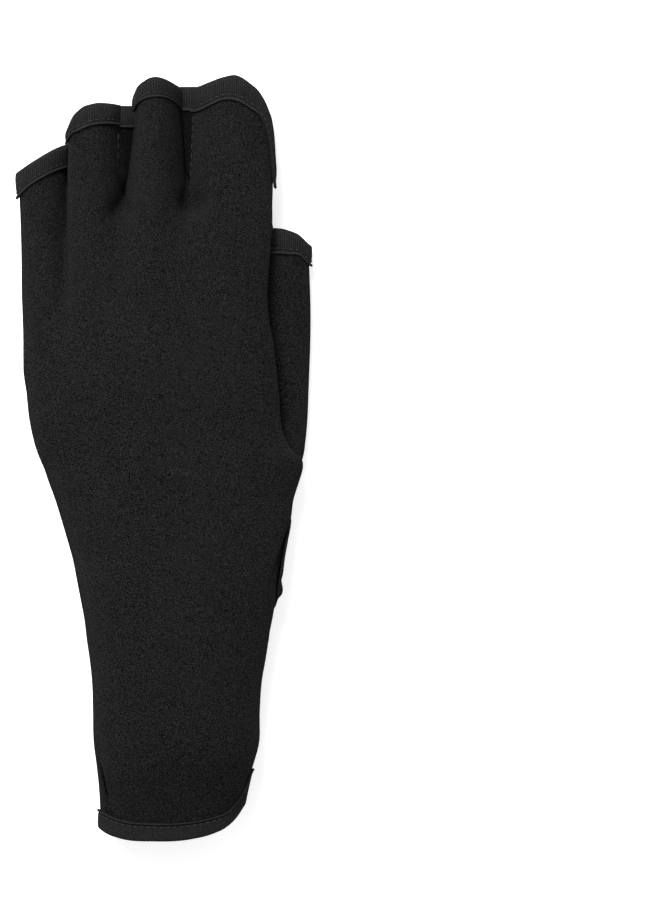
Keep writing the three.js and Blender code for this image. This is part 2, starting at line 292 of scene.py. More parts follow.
CUFF_ROWS = (
    (-0.310, 0.0350, 0.0600),
    (-0.260, 0.0190, 0.0434),
    (-0.235, 0.0124, 0.0395),
    (-0.186, 0.0060, 0.0320),
    (-0.037, 0.0015, 0.0255),
    (0.111, 0.0045, 0.0280),
    (0.200, 0.0122, 0.0345),
    (0.239, 0.0185, 0.0395),
    (0.279, 0.0319, 0.0520),
    (0.300, 0.0435, 0.0640),
    (0.318, 0.0560, 0.0770),
    (0.334, 0.0760, 0.0910),
    (0.350, 0.0860, 0.0980),
    (0.370, 0.0900, 0.1010),
)

# How round the sleeves are: 2 is an ellipse, more is squarer.
HAND_ROUNDNESS = 2.3
DIGIT_ROUNDNESS = 2.0
LOWER_ROUNDNESS = 2.6

# Where across a sleeve its thumb side starts to lift, and where it has lifted.
LIFT_START, LIFT_END = 0.45, 0.85

# How near two points are merged, in millimetres.
MERGE = 0.02

# How often the search for a place halves its range.
HALVINGS = 40

# The least length that a direction is divided by.
TINY = 1e-12


def smooth_curve(places: Array, values: Array, at: Array) -> Array:
    """Follows a table's column smoothly.

    Args:
        places: The rows' places, rising.
        values: The column's values.
        at: Where the column is wanted, of any shape.

    Returns:
        The values there, level beyond the first and last rows.
    """
    slopes = np.gradient(values, places)
    at = np.clip(at, places[0], places[-1])
    row = np.clip(np.searchsorted(places, at) - 1, 0, len(places) - 2)
    width = places[row + 1] - places[row]
    t = (at - places[row]) / width
    start, end = values[row], values[row + 1]
    into, out = slopes[row] * width, slopes[row + 1] * width
    curve = 2 * start - 2 * end + into + out
    bend = 3 * end - 3 * start - 2 * into - out
    return start + t * (into + t * (bend + t * curve))


def smooth_step(value: Array, low: float, high: float) -> Array:
    """Goes smoothly from 0 at low to 1 at high."""
    t = np.clip((value - low) / (high - low), 0, 1)
    return t * t * (3 - 2 * t)


@dataclass
class Sleeve:
    """A soft tube along the glove, given by rows of left, right, crown, seams, floor and lift."""

    y: Array
    left: Array
    right: Array
    crown: Array
    seam_left: Array
    seam_right: Array
    floor: Array
    lift: Array
    roundness: float = DIGIT_ROUNDNESS
    lean: float = 0.0

    @classmethod
    def hand(cls, rows: Sequence[Sequence[float]]) -> "Sleeve":
        """Makes the hand and wrist from their table.

        Args:
            rows: The rows of HAND_COLUMNS.

        Returns:
            The sleeve.
        """
        column = dict(zip(HAND_COLUMNS, np.array(rows).T))
        crown = column["crown"] * SIZES.palm_depth
        press = column["press"]
        return cls(
            y=SIZES.y(column["along"]),
            left=SIZES.x(column["left"]),
            right=SIZES.x(column["right"]),
            crown=crown,
            seam_left=crown * column["little"],
            seam_right=crown * column["thumb"],
            floor=SIZES.tape_reach * (1 - press) - SIZES.sag * press,
            lift=column["lift"] * SIZES.thumb_depth,
            roundness=HAND_ROUNDNESS,
        )

    @classmethod
    def digit(cls, digit: Digit) -> "Sleeve":
        """Makes a half finger or the thumb from its table.

        Args:
            digit: Which one.

        Returns:
            The sleeve.
        """
        column = dict(zip(DIGIT_COLUMNS, np.array(DIGIT_ROWS[digit]).T))
        depth = SIZES.thumb_depth if digit is Digit.THUMB else SIZES.finger_depth
        crown = column["crown"] * depth
        floor = SIZES.tape_reach + column["rise"] * depth
        little_side, thumb_side = DIGIT_SIDES[digit]
        return cls(
            y=SIZES.y(column["along"]),
            left=SIZES.x(column["left"]),
            right=SIZES.x(column["right"]),
            crown=crown,
            seam_left=floor + (crown - floor) * little_side,
            seam_right=floor + (crown - floor) * thumb_side,
            floor=floor,
            lift=np.zeros_like(crown),
            lean=DIGIT_LEAN[digit],
        )

    def at(self, name: str, y: Array) -> Array:
        """One of the sleeve's sizes at a place along the glove."""
        return smooth_curve(self.y, getattr(self, name), y)

    def _across(self, x: Array, y: Array) -> tuple[Array, Array, Array]:
        """Finds how places lie across the sleeve.

        Args:
            x: Places across.
            y: Places along.

        Returns:
            The share of the half width with its leaning crest, the seam's height and the underside's.
        """
        left, right = self.at("left", y), self.at("right", y)
        share = (x - left) / (right - left)
        inside = np.clip(share, 0, 1)
        seam_left, seam_right = self.at("seam_left", y), self.at("seam_right", y)
        seam = seam_left + (seam_right - seam_left) * inside
        under = self.at("floor", y) + self.at("lift", y) * smooth_step(share, LIFT_START, LIFT_END)
        leaning = share + self.lean * (inside * (1 - inside) + (share - inside) * (1 - 2 * inside))
        return 2 * leaning - 1, seam, under

    def x(self, out: Array, y: Array) -> Array:
        """Finds places across the sleeve, whose crest may lean.

        Args:
            out: Shares of the half width, from -1 to 1.
            y: Places along.

        Returns:
            Places across.
        """
        left, right = self.at("left", y), self.at("right", y)
        share = (1 + out) / 2
        if self.lean:
            whole = 1 + self.lean
            share = (whole - np.sqrt(whole**2 - 4 * self.lean * share)) / (2 * self.lean)
        return left + (right - left) * share

    def level(self, x: Array, y: Array, z: Array) -> Array:
        """How far out a point is: 0 on the sleeve, under 0 inside.

        Args:
            x: Places across.
            y: Places along.
            z: Heights.

        Returns:
            The level, which isn't yet a distance.
        """
        out, seam, under = self._across(x, y)
        crown = self.at("crown", y)
        above = z >= seam
        reach = np.where(above, (z - seam) / (crown - seam), (seam - z) / (seam - under))
        round_above = (np.abs(out) ** self.roundness + reach**self.roundness) ** (1 / self.roundness)
        round_below = (np.abs(out) ** LOWER_ROUNDNESS + reach**LOWER_ROUNDNESS) ** (1 / LOWER_ROUNDNESS)
        return np.where(above, round_above, round_below) - 1

    def point(self, turn: Array, y: Array) -> Array:
        """Points on the sleeve.

        Args:
            turn: Angles round it, 0 at the thumb side and a quarter turn at the crown.
            y: Places along it.

        Returns:
            Points of shape (..., 3), pressed flat by the floor.
        """
        upper = np.sin(turn) >= 0
        power = np.where(upper, 2 / self.roundness, 2 / LOWER_ROUNDNESS)
        out = np.sign(np.cos(turn)) * np.abs(np.cos(turn)) ** power
        rise = np.abs(np.sin(turn)) ** power
        x = self.x(out, y)
        _, seam, under = self._across(x, y)
        z = np.where(upper, seam + (self.at("crown", y) - seam) * rise, seam + (under - seam) * rise)
        return np.stack([x, y + 0 * x, np.maximum(z, 0)], -1)


@dataclass
class Opening:
    """The edge of an opening in a sleeve, with the line where its binding ends."""

    across: Array
    edge: Array
    band: Array

    @classmethod
    def of(cls, rows: Sequence[Sequence[float]]) -> "Opening":
        """Makes an opening from its table of OPENING_COLUMNS."""
        column = dict(zip(OPENING_COLUMNS, np.array(rows).T))
        return cls(SIZES.x(column["across"]), SIZES.y(column["edge"]), SIZES.y(column["band"]))

    def line(self, x: Array, share: Array) -> Array:
        """Finds a line between the band's end and the edge.

        Args:
            x: Places across.
            share: 0 at the band's end, 1 at the edge.

        Returns:
            Places along the glove.
        """
        band = smooth_curve(self.across, self.band, x)
        edge = smooth_curve(self.across, self.edge, x)
        return band + (edge - band) * share


HAND = Sleeve.hand(HAND_ROWS)
SLEEVES = {digit: Sleeve.digit(digit) for digit in Digit}
OPENINGS = {digit: Opening.of(rows) for digit, rows in OPENING_ROWS.items()}
CUFF = Opening.of(CUFF_ROWS)


# Heights of the side seams at shares of the length, at the little finger's side and the index's side,
# and where those two sides lie, shares of the palm width.
SEAM_PLACES = (-0.05, 0.05, 0.10, 0.13, 0.16, 0.20, 0.26, 0.32, 0.38, 0.45, 0.60, 0.72, 0.84, 0.95, 1.10)
SEAM_LITTLE = (26.0, 26.0, 26.7, 25.0, 19.5, 17.5, 16.5, 15.5, 15.0, 14.0, 11.5, 9.0, 7.6, 7.2, 7.0)
SEAM_THUMB = (13.0, 13.0, 13.0, 13.0, 13.0, 13.0, 15.0, 22.5, 19.5, 16.8, 17.6, 18.0, 16.0, 12.0, 10.0)
SEAM_SIDES = (-0.57, 0.43)


def side_seam(x: Array, y: Array) -> Array:
    """The height of the side seams' surface, which parts the back from the palm.

    Args:
        x: Places across.
        y: Places along.

    Returns:
        Heights. The little finger's side runs a little up on the back.
    """
    places = SIZES.y(np.array(SEAM_PLACES))
    little, thumb = np.array(SEAM_LITTLE), np.array(SEAM_THUMB)
    little = smooth_curve(places, little, y)
    thumb = smooth_curve(places, thumb, y)
    left, right = SIZES.x(SEAM_SIDES)
    return little + (thumb - little) * (x - left) / (right - left)


@dataclass
class Volume:
    """A grid of distances to a sleeve's surface, in millimetres."""

    step: float
    low: Array
    distance: Array

    AXES = ((-52.0, 52.0), (-131.0, 131.0), (-3.0, 38.0))

    @classmethod
    def axes(cls, step: float) -> list[Array]:
        """The grid's places along X, Y and Z, shaped to spread over each other."""
        places = [np.arange(low, high, step, dtype=np.float64) for low, high in cls.AXES]
        return [places[0][:, None, None], places[1][None, :, None], places[2][None, None, :]]

    @classmethod
    def of(cls, sleeve: Sleeve, step: float) -> "Volume":
        """Measures a sleeve.

        Args:
            sleeve: The sleeve.
            step: The grid's step.

        Returns:
            The volume of true distances near the surface.
        """
        level = sleeve.level(*cls.axes(step))
        slopes = np.gradient(level, step)
        steepness = np.sqrt(sum(slope**2 for slope in slopes))
        return cls(step, np.array([low for low, _ in cls.AXES]), level / np.maximum(steepness, 1e-3))

    def joined(self, other: "Volume", softness: float) -> "Volume":
        """Joins two volumes.

        Args:
            other: The other volume, on the same grid.
            softness: The fillet's size.

        Returns:
            The joined volume.
        """
        near = np.clip(0.5 + 0.5 * (other.distance - self.distance) / softness, 0, 1)
        mixed = other.distance + (self.distance - other.distance) * near
        return Volume(self.step, self.low, mixed - softness * near * (1 - near))

    def capped(self, plane: Array, softness: float) -> "Volume":
        """Cuts the volume.

        Args:
            plane: Distances on the grid, over 0 where it is cut away.
            softness: How round the cut's edge is.

        Returns:
            The volume that stays.
        """
        near = np.clip(0.5 - 0.5 * (plane - self.distance) / softness, 0, 1)
        mixed = plane + (self.distance - plane) * near
        return Volume(self.step, self.low, mixed + softness * near * (1 - near))

    def sample(self, points: Array) -> Array:
        """Finds distances between the grid's values.

        Args:
            points: Points of shape (count, 3).

        Returns:
            The distance at each point.
        """
        place = (points - self.low) / self.step
        base = np.clip(np.floor(place).astype(int), 0, np.array(self.distance.shape) - 2)
        t = np.clip(place - base, 0, 1)
        total = np.zeros(len(points))
        for corner in np.ndindex(2, 2, 2):
            weight = np.prod(np.where(corner, t, 1 - t), axis=1)
            index = base + np.array(corner)
            total += weight * self.distance[index[:, 0], index[:, 1], index[:, 2]]
        return total

    def surface(self) -> tuple[Array, Array]:
        """The surface where the distance is 0.

        Returns:
            Points and triangles that face outwards.
        """
        limit = 3 * self.step
        values = np.clip(self.distance, -limit, limit).astype(np.float32)
        grid = openvdb.FloatGrid(limit)
        grid.copyFromArray(values)
        points, quads = grid.convertToQuads(isovalue=0.0)
        points = points.astype(float) * self.step + self.low
        quads = quads.astype(np.int64)
        triangles = np.concatenate([quads[:, [0, 1, 2]], quads[:, [0, 2, 3]]])
        corners = points[triangles]
        volume = np.einsum("ij,ij->i", corners[:, 0], np.cross(corners[:, 1], corners[:, 2])).sum()
        return points, triangles if volume > 0 else triangles[:, ::-1]


def relaxed(points: Array, triangles: Array, rounds: int, pull: float) -> Array:
    """Smooths a surface by moving each point towards its neighbours' middle.

    Args:
        points: The surface's points.
        triangles: Its triangles.
        rounds: How often they move.
        pull: How far they move each time, 1 being all the way.

    Returns:
        The moved points.
    """
    edges = np.concatenate([triangles[:, [0, 1]], triangles[:, [1, 2]], triangles[:, [2, 0]]])
    count = np.bincount(edges.ravel(), minlength=len(points)).astype(float)
    for _ in range(rounds):
        total = np.zeros_like(points)
        for axis in range(3):
            total[:, axis] = np.bincount(edges[:, 0], points[edges[:, 1], axis], len(points))
            total[:, axis] += np.bincount(edges[:, 1], points[edges[:, 0], axis], len(points))
        points = points + pull * (total / np.maximum(count, 1)[:, None] - points)
    return points


def point_normals(points: Array, triangles: Array) -> Array:
    """Finds the outward normals of a surface's points.

    Args:
        points: The surface's points.
        triangles: Its triangles, facing outwards.

    Returns:
        A normal for each point.
    """
    corners = points[triangles]
    faces = np.cross(corners[:, 1] - corners[:, 0], corners[:, 2] - corners[:, 0])
    total = np.zeros_like(points)
    for axis in range(3):
        for corner in range(3):
            total[:, axis] += np.bincount(triangles[:, corner], faces[:, axis], len(points))
    return total / np.maximum(np.linalg.norm(total, axis=1), TINY)[:, None]


def trimmed(points: Array, triangles: Array, past: Callable[[Array], Array]) -> tuple[Array, Array]:
    """Cuts a surface along the line where a function of its points is 0.

    Args:
        points: The surface's points.
        triangles: Its triangles.
        past: Gives, for points, a value under 0 where the surface stays.

    Returns:
        The points and triangles that stay. Points near the line are moved onto it.
    """
    points = points.copy()
    value = past(points)
    edges = np.concatenate([triangles[:, [0, 1]], triangles[:, [1, 2]], triangles[:, [2, 0]]])
    crossing = edges[(value[edges[:, 0]] < 0) != (value[edges[:, 1]] < 0)]
    share = value[crossing[:, 0]] / (value[crossing[:, 0]] - value[crossing[:, 1]])
    snap = 0.25
    start, end = crossing.T
    for near, far, t in ((start, end, share), (end, start, 1 - share)):
        close = t < snap
        moved = points[near[close]] + (points[far[close]] - points[near[close]]) * t[close, None]
        points[near[close]] = moved
        value[near[close]] = -1e-9
    inside = value[triangles] < 0
    count = inside.sum(1)
    cut = triangles[(count == 1) | (count == 2)]
    single = inside[(count == 1) | (count == 2)]
    lone = np.argmax(single == (single.sum(1) == 1)[:, None], axis=1)
    row = np.arange(len(cut))
    a, b, c = (cut[row, (lone + turn) % 3] for turn in range(3))
    pairs = np.concatenate([np.stack([a, b], 1), np.stack([a, c], 1)])
    keys, back = np.unique(np.sort(pairs, axis=1), axis=0, return_inverse=True)
    t = value[keys[:, 0]] / (value[keys[:, 0]] - value[keys[:, 1]])
    extra = points[keys[:, 0]] + (points[keys[:, 1]] - points[keys[:, 0]]) * np.clip(t, 0, 1)[:, None]
    back = back.ravel() + len(points)
    ab, ac = back[: len(cut)], back[len(cut) :]
    one = value[a] < 0
    kept = [
        triangles[count == 3],
        np.stack([a, ab, ac], 1)[one],
        np.stack([ab, b, c], 1)[~one],
        np.stack([ab, c, ac], 1)[~one],
    ]
    points, triangles = np.concatenate([points, extra]), np.concatenate(kept)
    used, triangles = np.unique(triangles, return_inverse=True)
    return points[used], triangles.reshape(-1, 3)


def mesh_object(
    name: str, points: Array, faces: Sequence[Sequence[int]], merge: float = 0.0
) -> bpy.types.Object:
    """Makes a smooth mesh object from points in millimetres.

    Args:
        name: The object's name.
        points: Its points.
        faces: Its faces.
        merge: Points nearer than this are merged, in millimetres.

    Returns:
        The object, at the origin.
    """
    mesh = bpy.data.meshes.new(name)
    faces = faces.tolist() if isinstance(faces, np.ndarray) else faces
    mesh.from_pydata((np.asarray(points) * MM).tolist(), [], faces)
    if merge > 0:
        work = bmesh.new()
        work.from_mesh(mesh)
        bmesh.ops.remove_doubles(work, verts=work.verts, dist=merge * MM)
        bmesh.ops.dissolve_degenerate(work, edges=work.edges, dist=merge * MM)
        work.to_mesh(mesh)
        work.free()
    mesh.polygons.foreach_set("use_smooth", [True] * len(mesh.polygons))
    made = bpy.data.objects.new(name, mesh)
    bpy.context.collection.objects.link(made)
    return made


def applied(made: bpy.types.Object) -> bpy.types.Object:
    """Turns an object's modifiers into its plain mesh.

    Args:
        made: The object.

    Returns:
        The same object.
    """
    graph = bpy.context.evaluated_depsgraph_get()
    mesh = bpy.data.meshes.new_from_object(made.evaluated_get(graph))
    made.modifiers.clear()
    made.data = mesh
    return made


def walled(made: bpy.types.Object, thickness: float) -> bpy.types.Object:
    """Gives an open surface its thickness, inwards.

    Args:
        made: The surface's object.
        thickness: The wall in millimetres.

    Returns:
        The same object.
    """
    wall = made.modifiers.new("wall", "SOLIDIFY")
    wall.thickness = thickness * MM
    wall.offset = -1
    wall.use_quality_normals = True
    return applied(made)


def face_outwards(piece: bpy.types.Object) -> None:
    """Turns a closed mesh's faces outwards.

    Args:
        piece: The mesh's object.
    """
    work = bmesh.new()
    work.from_mesh(piece.data)
    bmesh.ops.recalc_face_normals(work, faces=work.faces)
    if work.calc_volume(signed=True) < 0:
        bmesh.ops.reverse_faces(work, faces=work.faces)
    work.to_mesh(piece.data)
    work.free()


def sheet(name: str, rows: Sequence[Array], thickness: float, face_up: bool = False) -> bpy.types.Object:
    """Makes a strip of cloth from rows of points.

    Args:
        name: The object's name.
        rows: Rows of points in millimetres, as many in each.
        thickness: The wall in millimetres.
        face_up: Whether the rows are its top.

    Returns:
        The closed object.
    """
    top = np.array(rows)
    high, wide = top.shape[:2]
    index = np.arange(high * wide).reshape(high, wide)
    faces = np.stack([index[:-1, :-1], index[1:, :-1], index[1:, 1:], index[:-1, 1:]], -1).reshape(-1, 4)
    piece = mesh_object(name, top.reshape(-1, 3), faces)
    if face_up:
        work = bmesh.new()
        work.from_mesh(piece.data)
        bmesh.ops.recalc_face_normals(work, faces=work.faces)
        if sum(face.normal.z for face in work.faces) < 0:
            bmesh.ops.reverse_faces(work, faces=work.faces)
        work.to_mesh(piece.data)
        work.free()
    walled(piece, thickness)
    face_outwards(piece)
    return piece


def added(
    tree: bpy.types.NodeTree, kind: str, inputs: dict[str | int, Any], **options: Any
) -> bpy.types.Node:
    """Adds a node to a tree.

    Args:
        tree: The tree.
        kind: The node's type.
        inputs: Values by the input's name or number. A socket is linked instead.
        options: The node's own options.

    Returns:
        The node.
    """
    made = tree.nodes.new(kind)
    for name, value in options.items():
        setattr(made, name, value)
    for name, value in inputs.items():
        if isinstance(value, bpy.types.NodeSocket):
            tree.links.new(value, made.inputs[name])
        else:
            made.inputs[name].default_value = value
    return made


class Grain:
    """Shader node groups that more than one of the glove's finishes use."""

    # A tape's tones across it, from its lip to its fold: place and tone. The darkest stop is painted shadow
    # on the lip's underside where it meets the cloth, the two lightest stops are a painted highlight along
    # the lip, and the dark stop after them is painted shade in the stitch groove.
    TAPE_TONES_AND_PAINTED_LIGHT = (
        (0.045, 0.15),
        (0.08, 1.30),
        (0.15, 1.30),
        (0.195, 0.40),
        (0.25, 0.85),
        (0.60, 1.0),
        (0.97, 1.1),
    )

    @staticmethod
    def knit() -> bpy.types.ShaderNodeTree:
        """Builds the knit: a faint grey heather and fine wales, on the piece's own coordinates.

        Returns:
            The group, with a colour and a height.
        """
        name = "knit_grain"
        if name in bpy.data.node_groups:
            return bpy.data.node_groups[name]
        tree = bpy.data.node_groups.new(name, "ShaderNodeTree")
        for way, label, kind in (
            ("INPUT", "Dark", "NodeSocketColor"),
            ("INPUT", "Light", "NodeSocketColor"),
            ("INPUT", "Wales per metre", "NodeSocketFloat"),
            ("INPUT", "Grain per metre", "NodeSocketFloat"),
            ("OUTPUT", "Color", "NodeSocketColor"),
            ("OUTPUT", "Height", "NodeSocketFloat"),
        ):
            tree.interface.new_socket(name=label, in_out=way, socket_type=kind)
        given = added(tree, "NodeGroupInput", {}).outputs
        place = added(tree, "ShaderNodeTexCoord", {}).outputs["Object"]
        fine = added(
            tree, "ShaderNodeTexNoise",
            {"Vector": place, "Scale": given["Grain per metre"], "Detail": 3.0, "Roughness": 0.7},
        ).outputs["Fac"]
        cloud = added(
            tree, "ShaderNodeTexNoise", {"Vector": place, "Scale": 42.0, "Detail": 2.0}
        ).outputs["Fac"]
        scale = added(
            tree, "ShaderNodeMath", {0: given["Wales per metre"], 1: math.pi / 10}, operation="MULTIPLY"
        ).outputs[0]
        wale = added(
            tree, "ShaderNodeTexWave",
            {"Vector": place, "Scale": scale, "Distortion": 5.0, "Detail": 2.0, "Detail Scale": 60.0},
            wave_type="BANDS", bands_direction="X",
        ).outputs["Fac"]
        spread = added(
            tree, "ShaderNodeMapRange", {"Value": fine, "From Min": 0.44, "From Max": 0.58}
        ).outputs["Result"]
        even = added(
            tree, "ShaderNodeMath", {0: cloud, 1: 0.20, 2: spread}, operation="MULTIPLY_ADD"
        ).outputs[0]
        shift = added(
            tree, "ShaderNodeMath", {0: even, 1: 0.09}, operation="SUBTRACT", use_clamp=True
        ).outputs[0]
        mix = added(
            tree, "ShaderNodeMix", {"Factor": shift, "A": given["Dark"], "B": given["Light"]},
            data_type="RGBA",
        ).outputs["Result"]
        height = added(tree, "ShaderNodeMath", {0: wale, 1: spread}, operation="ADD").outputs[0]
        added(tree, "NodeGroupOutput", {"Color": mix, "Height": height})
        return tree

    @classmethod
    def ribs(cls) -> bpy.types.ShaderNodeTree:
        """Builds a tape's tones from its map: ribs across it, lighter on their crests and darker in their
        troughs as painted light and shade, a painted highlight along the lip with painted shadow under it,
        and painted shade in the stitch groove.

        Returns:
            The group, with a tone.
        """
        name = "tape_ribs"
        if name in bpy.data.node_groups:
            return bpy.data.node_groups[name]
        tree = bpy.data.node_groups.new(name, "ShaderNodeTree")
        tree.interface.new_socket(name="Rib depth", in_out="INPUT", socket_type="NodeSocketFloat")
        tree.interface.new_socket(name="Tone", in_out="OUTPUT", socket_type="NodeSocketColor")
        depth = added(tree, "NodeGroupInput", {}).outputs["Rib depth"]
        place = added(tree, "ShaderNodeUVMap", {}, uv_map="tape_map").outputs["UV"]
        parts = added(tree, "ShaderNodeSeparateXYZ", {"Vector": place}).outputs
        turn = added(
            tree, "ShaderNodeMath", {0: parts["X"], 1: 2 * math.pi}, operation="MULTIPLY"
        ).outputs[0]
        wave = added(tree, "ShaderNodeMath", {0: turn}, operation="COSINE").outputs[0]
        # The ribs' crests lighter and their troughs darker, in step with their shape: painted light and
        # shade.
        rib = added(
            tree, "ShaderNodeMapRange", {"Value": wave, "From Min": -1.0, "To Min": 0.45, "To Max": 1.25}
        ).outputs["Result"]
        across = added(
            tree, "ShaderNodeMapRange", {"Value": parts["Y"], "From Min": -0.1}
        ).outputs["Result"]
        # The tones across the tape, with painted shadow under the lip, a painted highlight along it and
        # painted shade in the stitch groove.
        band = added(tree, "ShaderNodeValToRGB", {"Fac": across})
        ramp = band.color_ramp
        while len(ramp.elements) < len(cls.TAPE_TONES_AND_PAINTED_LIGHT):
            ramp.elements.new(0.5)
        for stop, (where, tone) in zip(ramp.elements, cls.TAPE_TONES_AND_PAINTED_LIGHT):
            stop.position = where
            stop.color = (tone, tone, tone, 1)
        ribbed = added(
            tree, "ShaderNodeMapRange", {"Value": parts["Y"], "From Min": 0.12, "From Max": 0.28},
            interpolation_type="SMOOTHSTEP",
        ).outputs["Result"]
        share = added(tree, "ShaderNodeMath", {0: ribbed, 1: depth}, operation="MULTIPLY").outputs[0]
        both = added(
            tree, "ShaderNodeMix", {"Factor": share, "A": 1.0, "B": rib}, data_type="FLOAT"
        ).outputs["Result"]
        tone = added(
            tree, "ShaderNodeMix", {"Factor": 1.0, "A": band.outputs["Color"], "B": both},
            data_type="RGBA", blend_type="MULTIPLY",
        ).outputs["Result"]
        added(tree, "NodeGroupOutput", {"Tone": tone})
        return tree


@dataclass(frozen=True)
class ClothFinish:
    """Black stretch knit, or a tape or thread made of it."""

    name: str
    dark: float
    light: float
    roughness: float
    sheen: float
    bump: float
    wales: float = 1600.0
    grain: float = 3100.0
    # How strongly a tape's ribs carry painted shade in their troughs and painted light on their crests;
    # over 0 it also adds the tape's painted lip and groove shade.
    painted_rib_shade: float = 0.0
    sheen_roughness: float = 0.45
    bump_distance: float = 0.00012

    def material(self) -> bpy.types.Material:
        """Builds the finish, or gives it if it is there.

        Returns:
            A material of procedural knit, with its shader in the material itself.
        """
        if self.name in bpy.data.materials:
            return bpy.data.materials[self.name]
        made = bpy.data.materials.new(self.name)
        made.use_nodes = True
        tree = made.node_tree
        shader = tree.nodes["Principled BSDF"]
        shader.inputs["Roughness"].default_value = self.roughness
        shader.inputs["Sheen Weight"].default_value = self.sheen
        shader.inputs["Sheen Roughness"].default_value = self.sheen_roughness
        shader.inputs["Specular IOR Level"].default_value = 0.0
        grain = tree.nodes.new("ShaderNodeGroup")
        grain.node_tree = Grain.knit()
        grain.inputs["Dark"].default_value = (self.dark, self.dark, self.dark, 1)
        grain.inputs["Light"].default_value = (self.light, self.light, self.light, 1)
        grain.inputs["Wales per metre"].default_value = self.wales
        grain.inputs["Grain per metre"].default_value = self.grain
        color = grain.outputs["Color"]
        # A tape's painted light and shade: rib troughs and crests, shadow under the lip, a highlight along
        # it and shade in the stitch groove.
        if self.painted_rib_shade > 0:
            ribs = tree.nodes.new("ShaderNodeGroup")
            ribs.node_tree = Grain.ribs()
            ribs.inputs["Rib depth"].default_value = self.painted_rib_shade
            color = added(
                tree, "ShaderNodeMix", {"Factor": 1.0, "A": color, "B": ribs.outputs["Tone"]},
                data_type="RGBA", blend_type="MULTIPLY",
            ).outputs["Result"]
        tree.links.new(color, shader.inputs["Base Color"])
        bump = added(
            tree, "ShaderNodeBump",
            {"Height": grain.outputs["Height"], "Strength": self.bump, "Distance": self.bump_distance},
        )
        tree.links.new(bump.outputs["Normal"], shader.inputs["Normal"])
        return made


KNIT = ClothFinish("black_knit", dark=0.0014, light=0.0215, roughness=0.85, sheen=0.012, bump=0.6)
# The webs' knit is darker than the glove's: painted shade for the valleys between the fingers.
SHADED_WEB_KNIT = ClothFinish("web_knit_painted_shade", dark=0.001, light=0.0095, roughness=0.9, sheen=0.005, bump=0.6)
RIBBED_TAPE = ClothFinish(
    "ribbed_tape", dark=0.009, light=0.024, roughness=0.8, sheen=0.015, bump=0.3, painted_rib_shade=0.85
)
CUFF_TAPE = ClothFinish(
    "cuff_tape_knit", dark=0.009, light=0.022, roughness=0.8, sheen=0.015, bump=0.3, painted_rib_shade=0.35
)
THREAD = ClothFinish("sewing_thread", dark=0.018, light=0.048, roughness=0.7, sheen=0.01, bump=0.3)


def dress(piece: bpy.types.Object, finish: ClothFinish, nodes: Sequence[str] = ()) -> None:
    """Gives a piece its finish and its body.

    Args:
        piece: The finished object.
        finish: Its finish.
        nodes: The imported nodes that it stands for.
    """
    piece.data.materials.clear()
    piece.data.materials.append(finish.material())
    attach(piece, BODY)
    if nodes:
        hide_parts(*nodes)
    LOG.info("%s: %d faces", piece.name, len(piece.data.polygons))


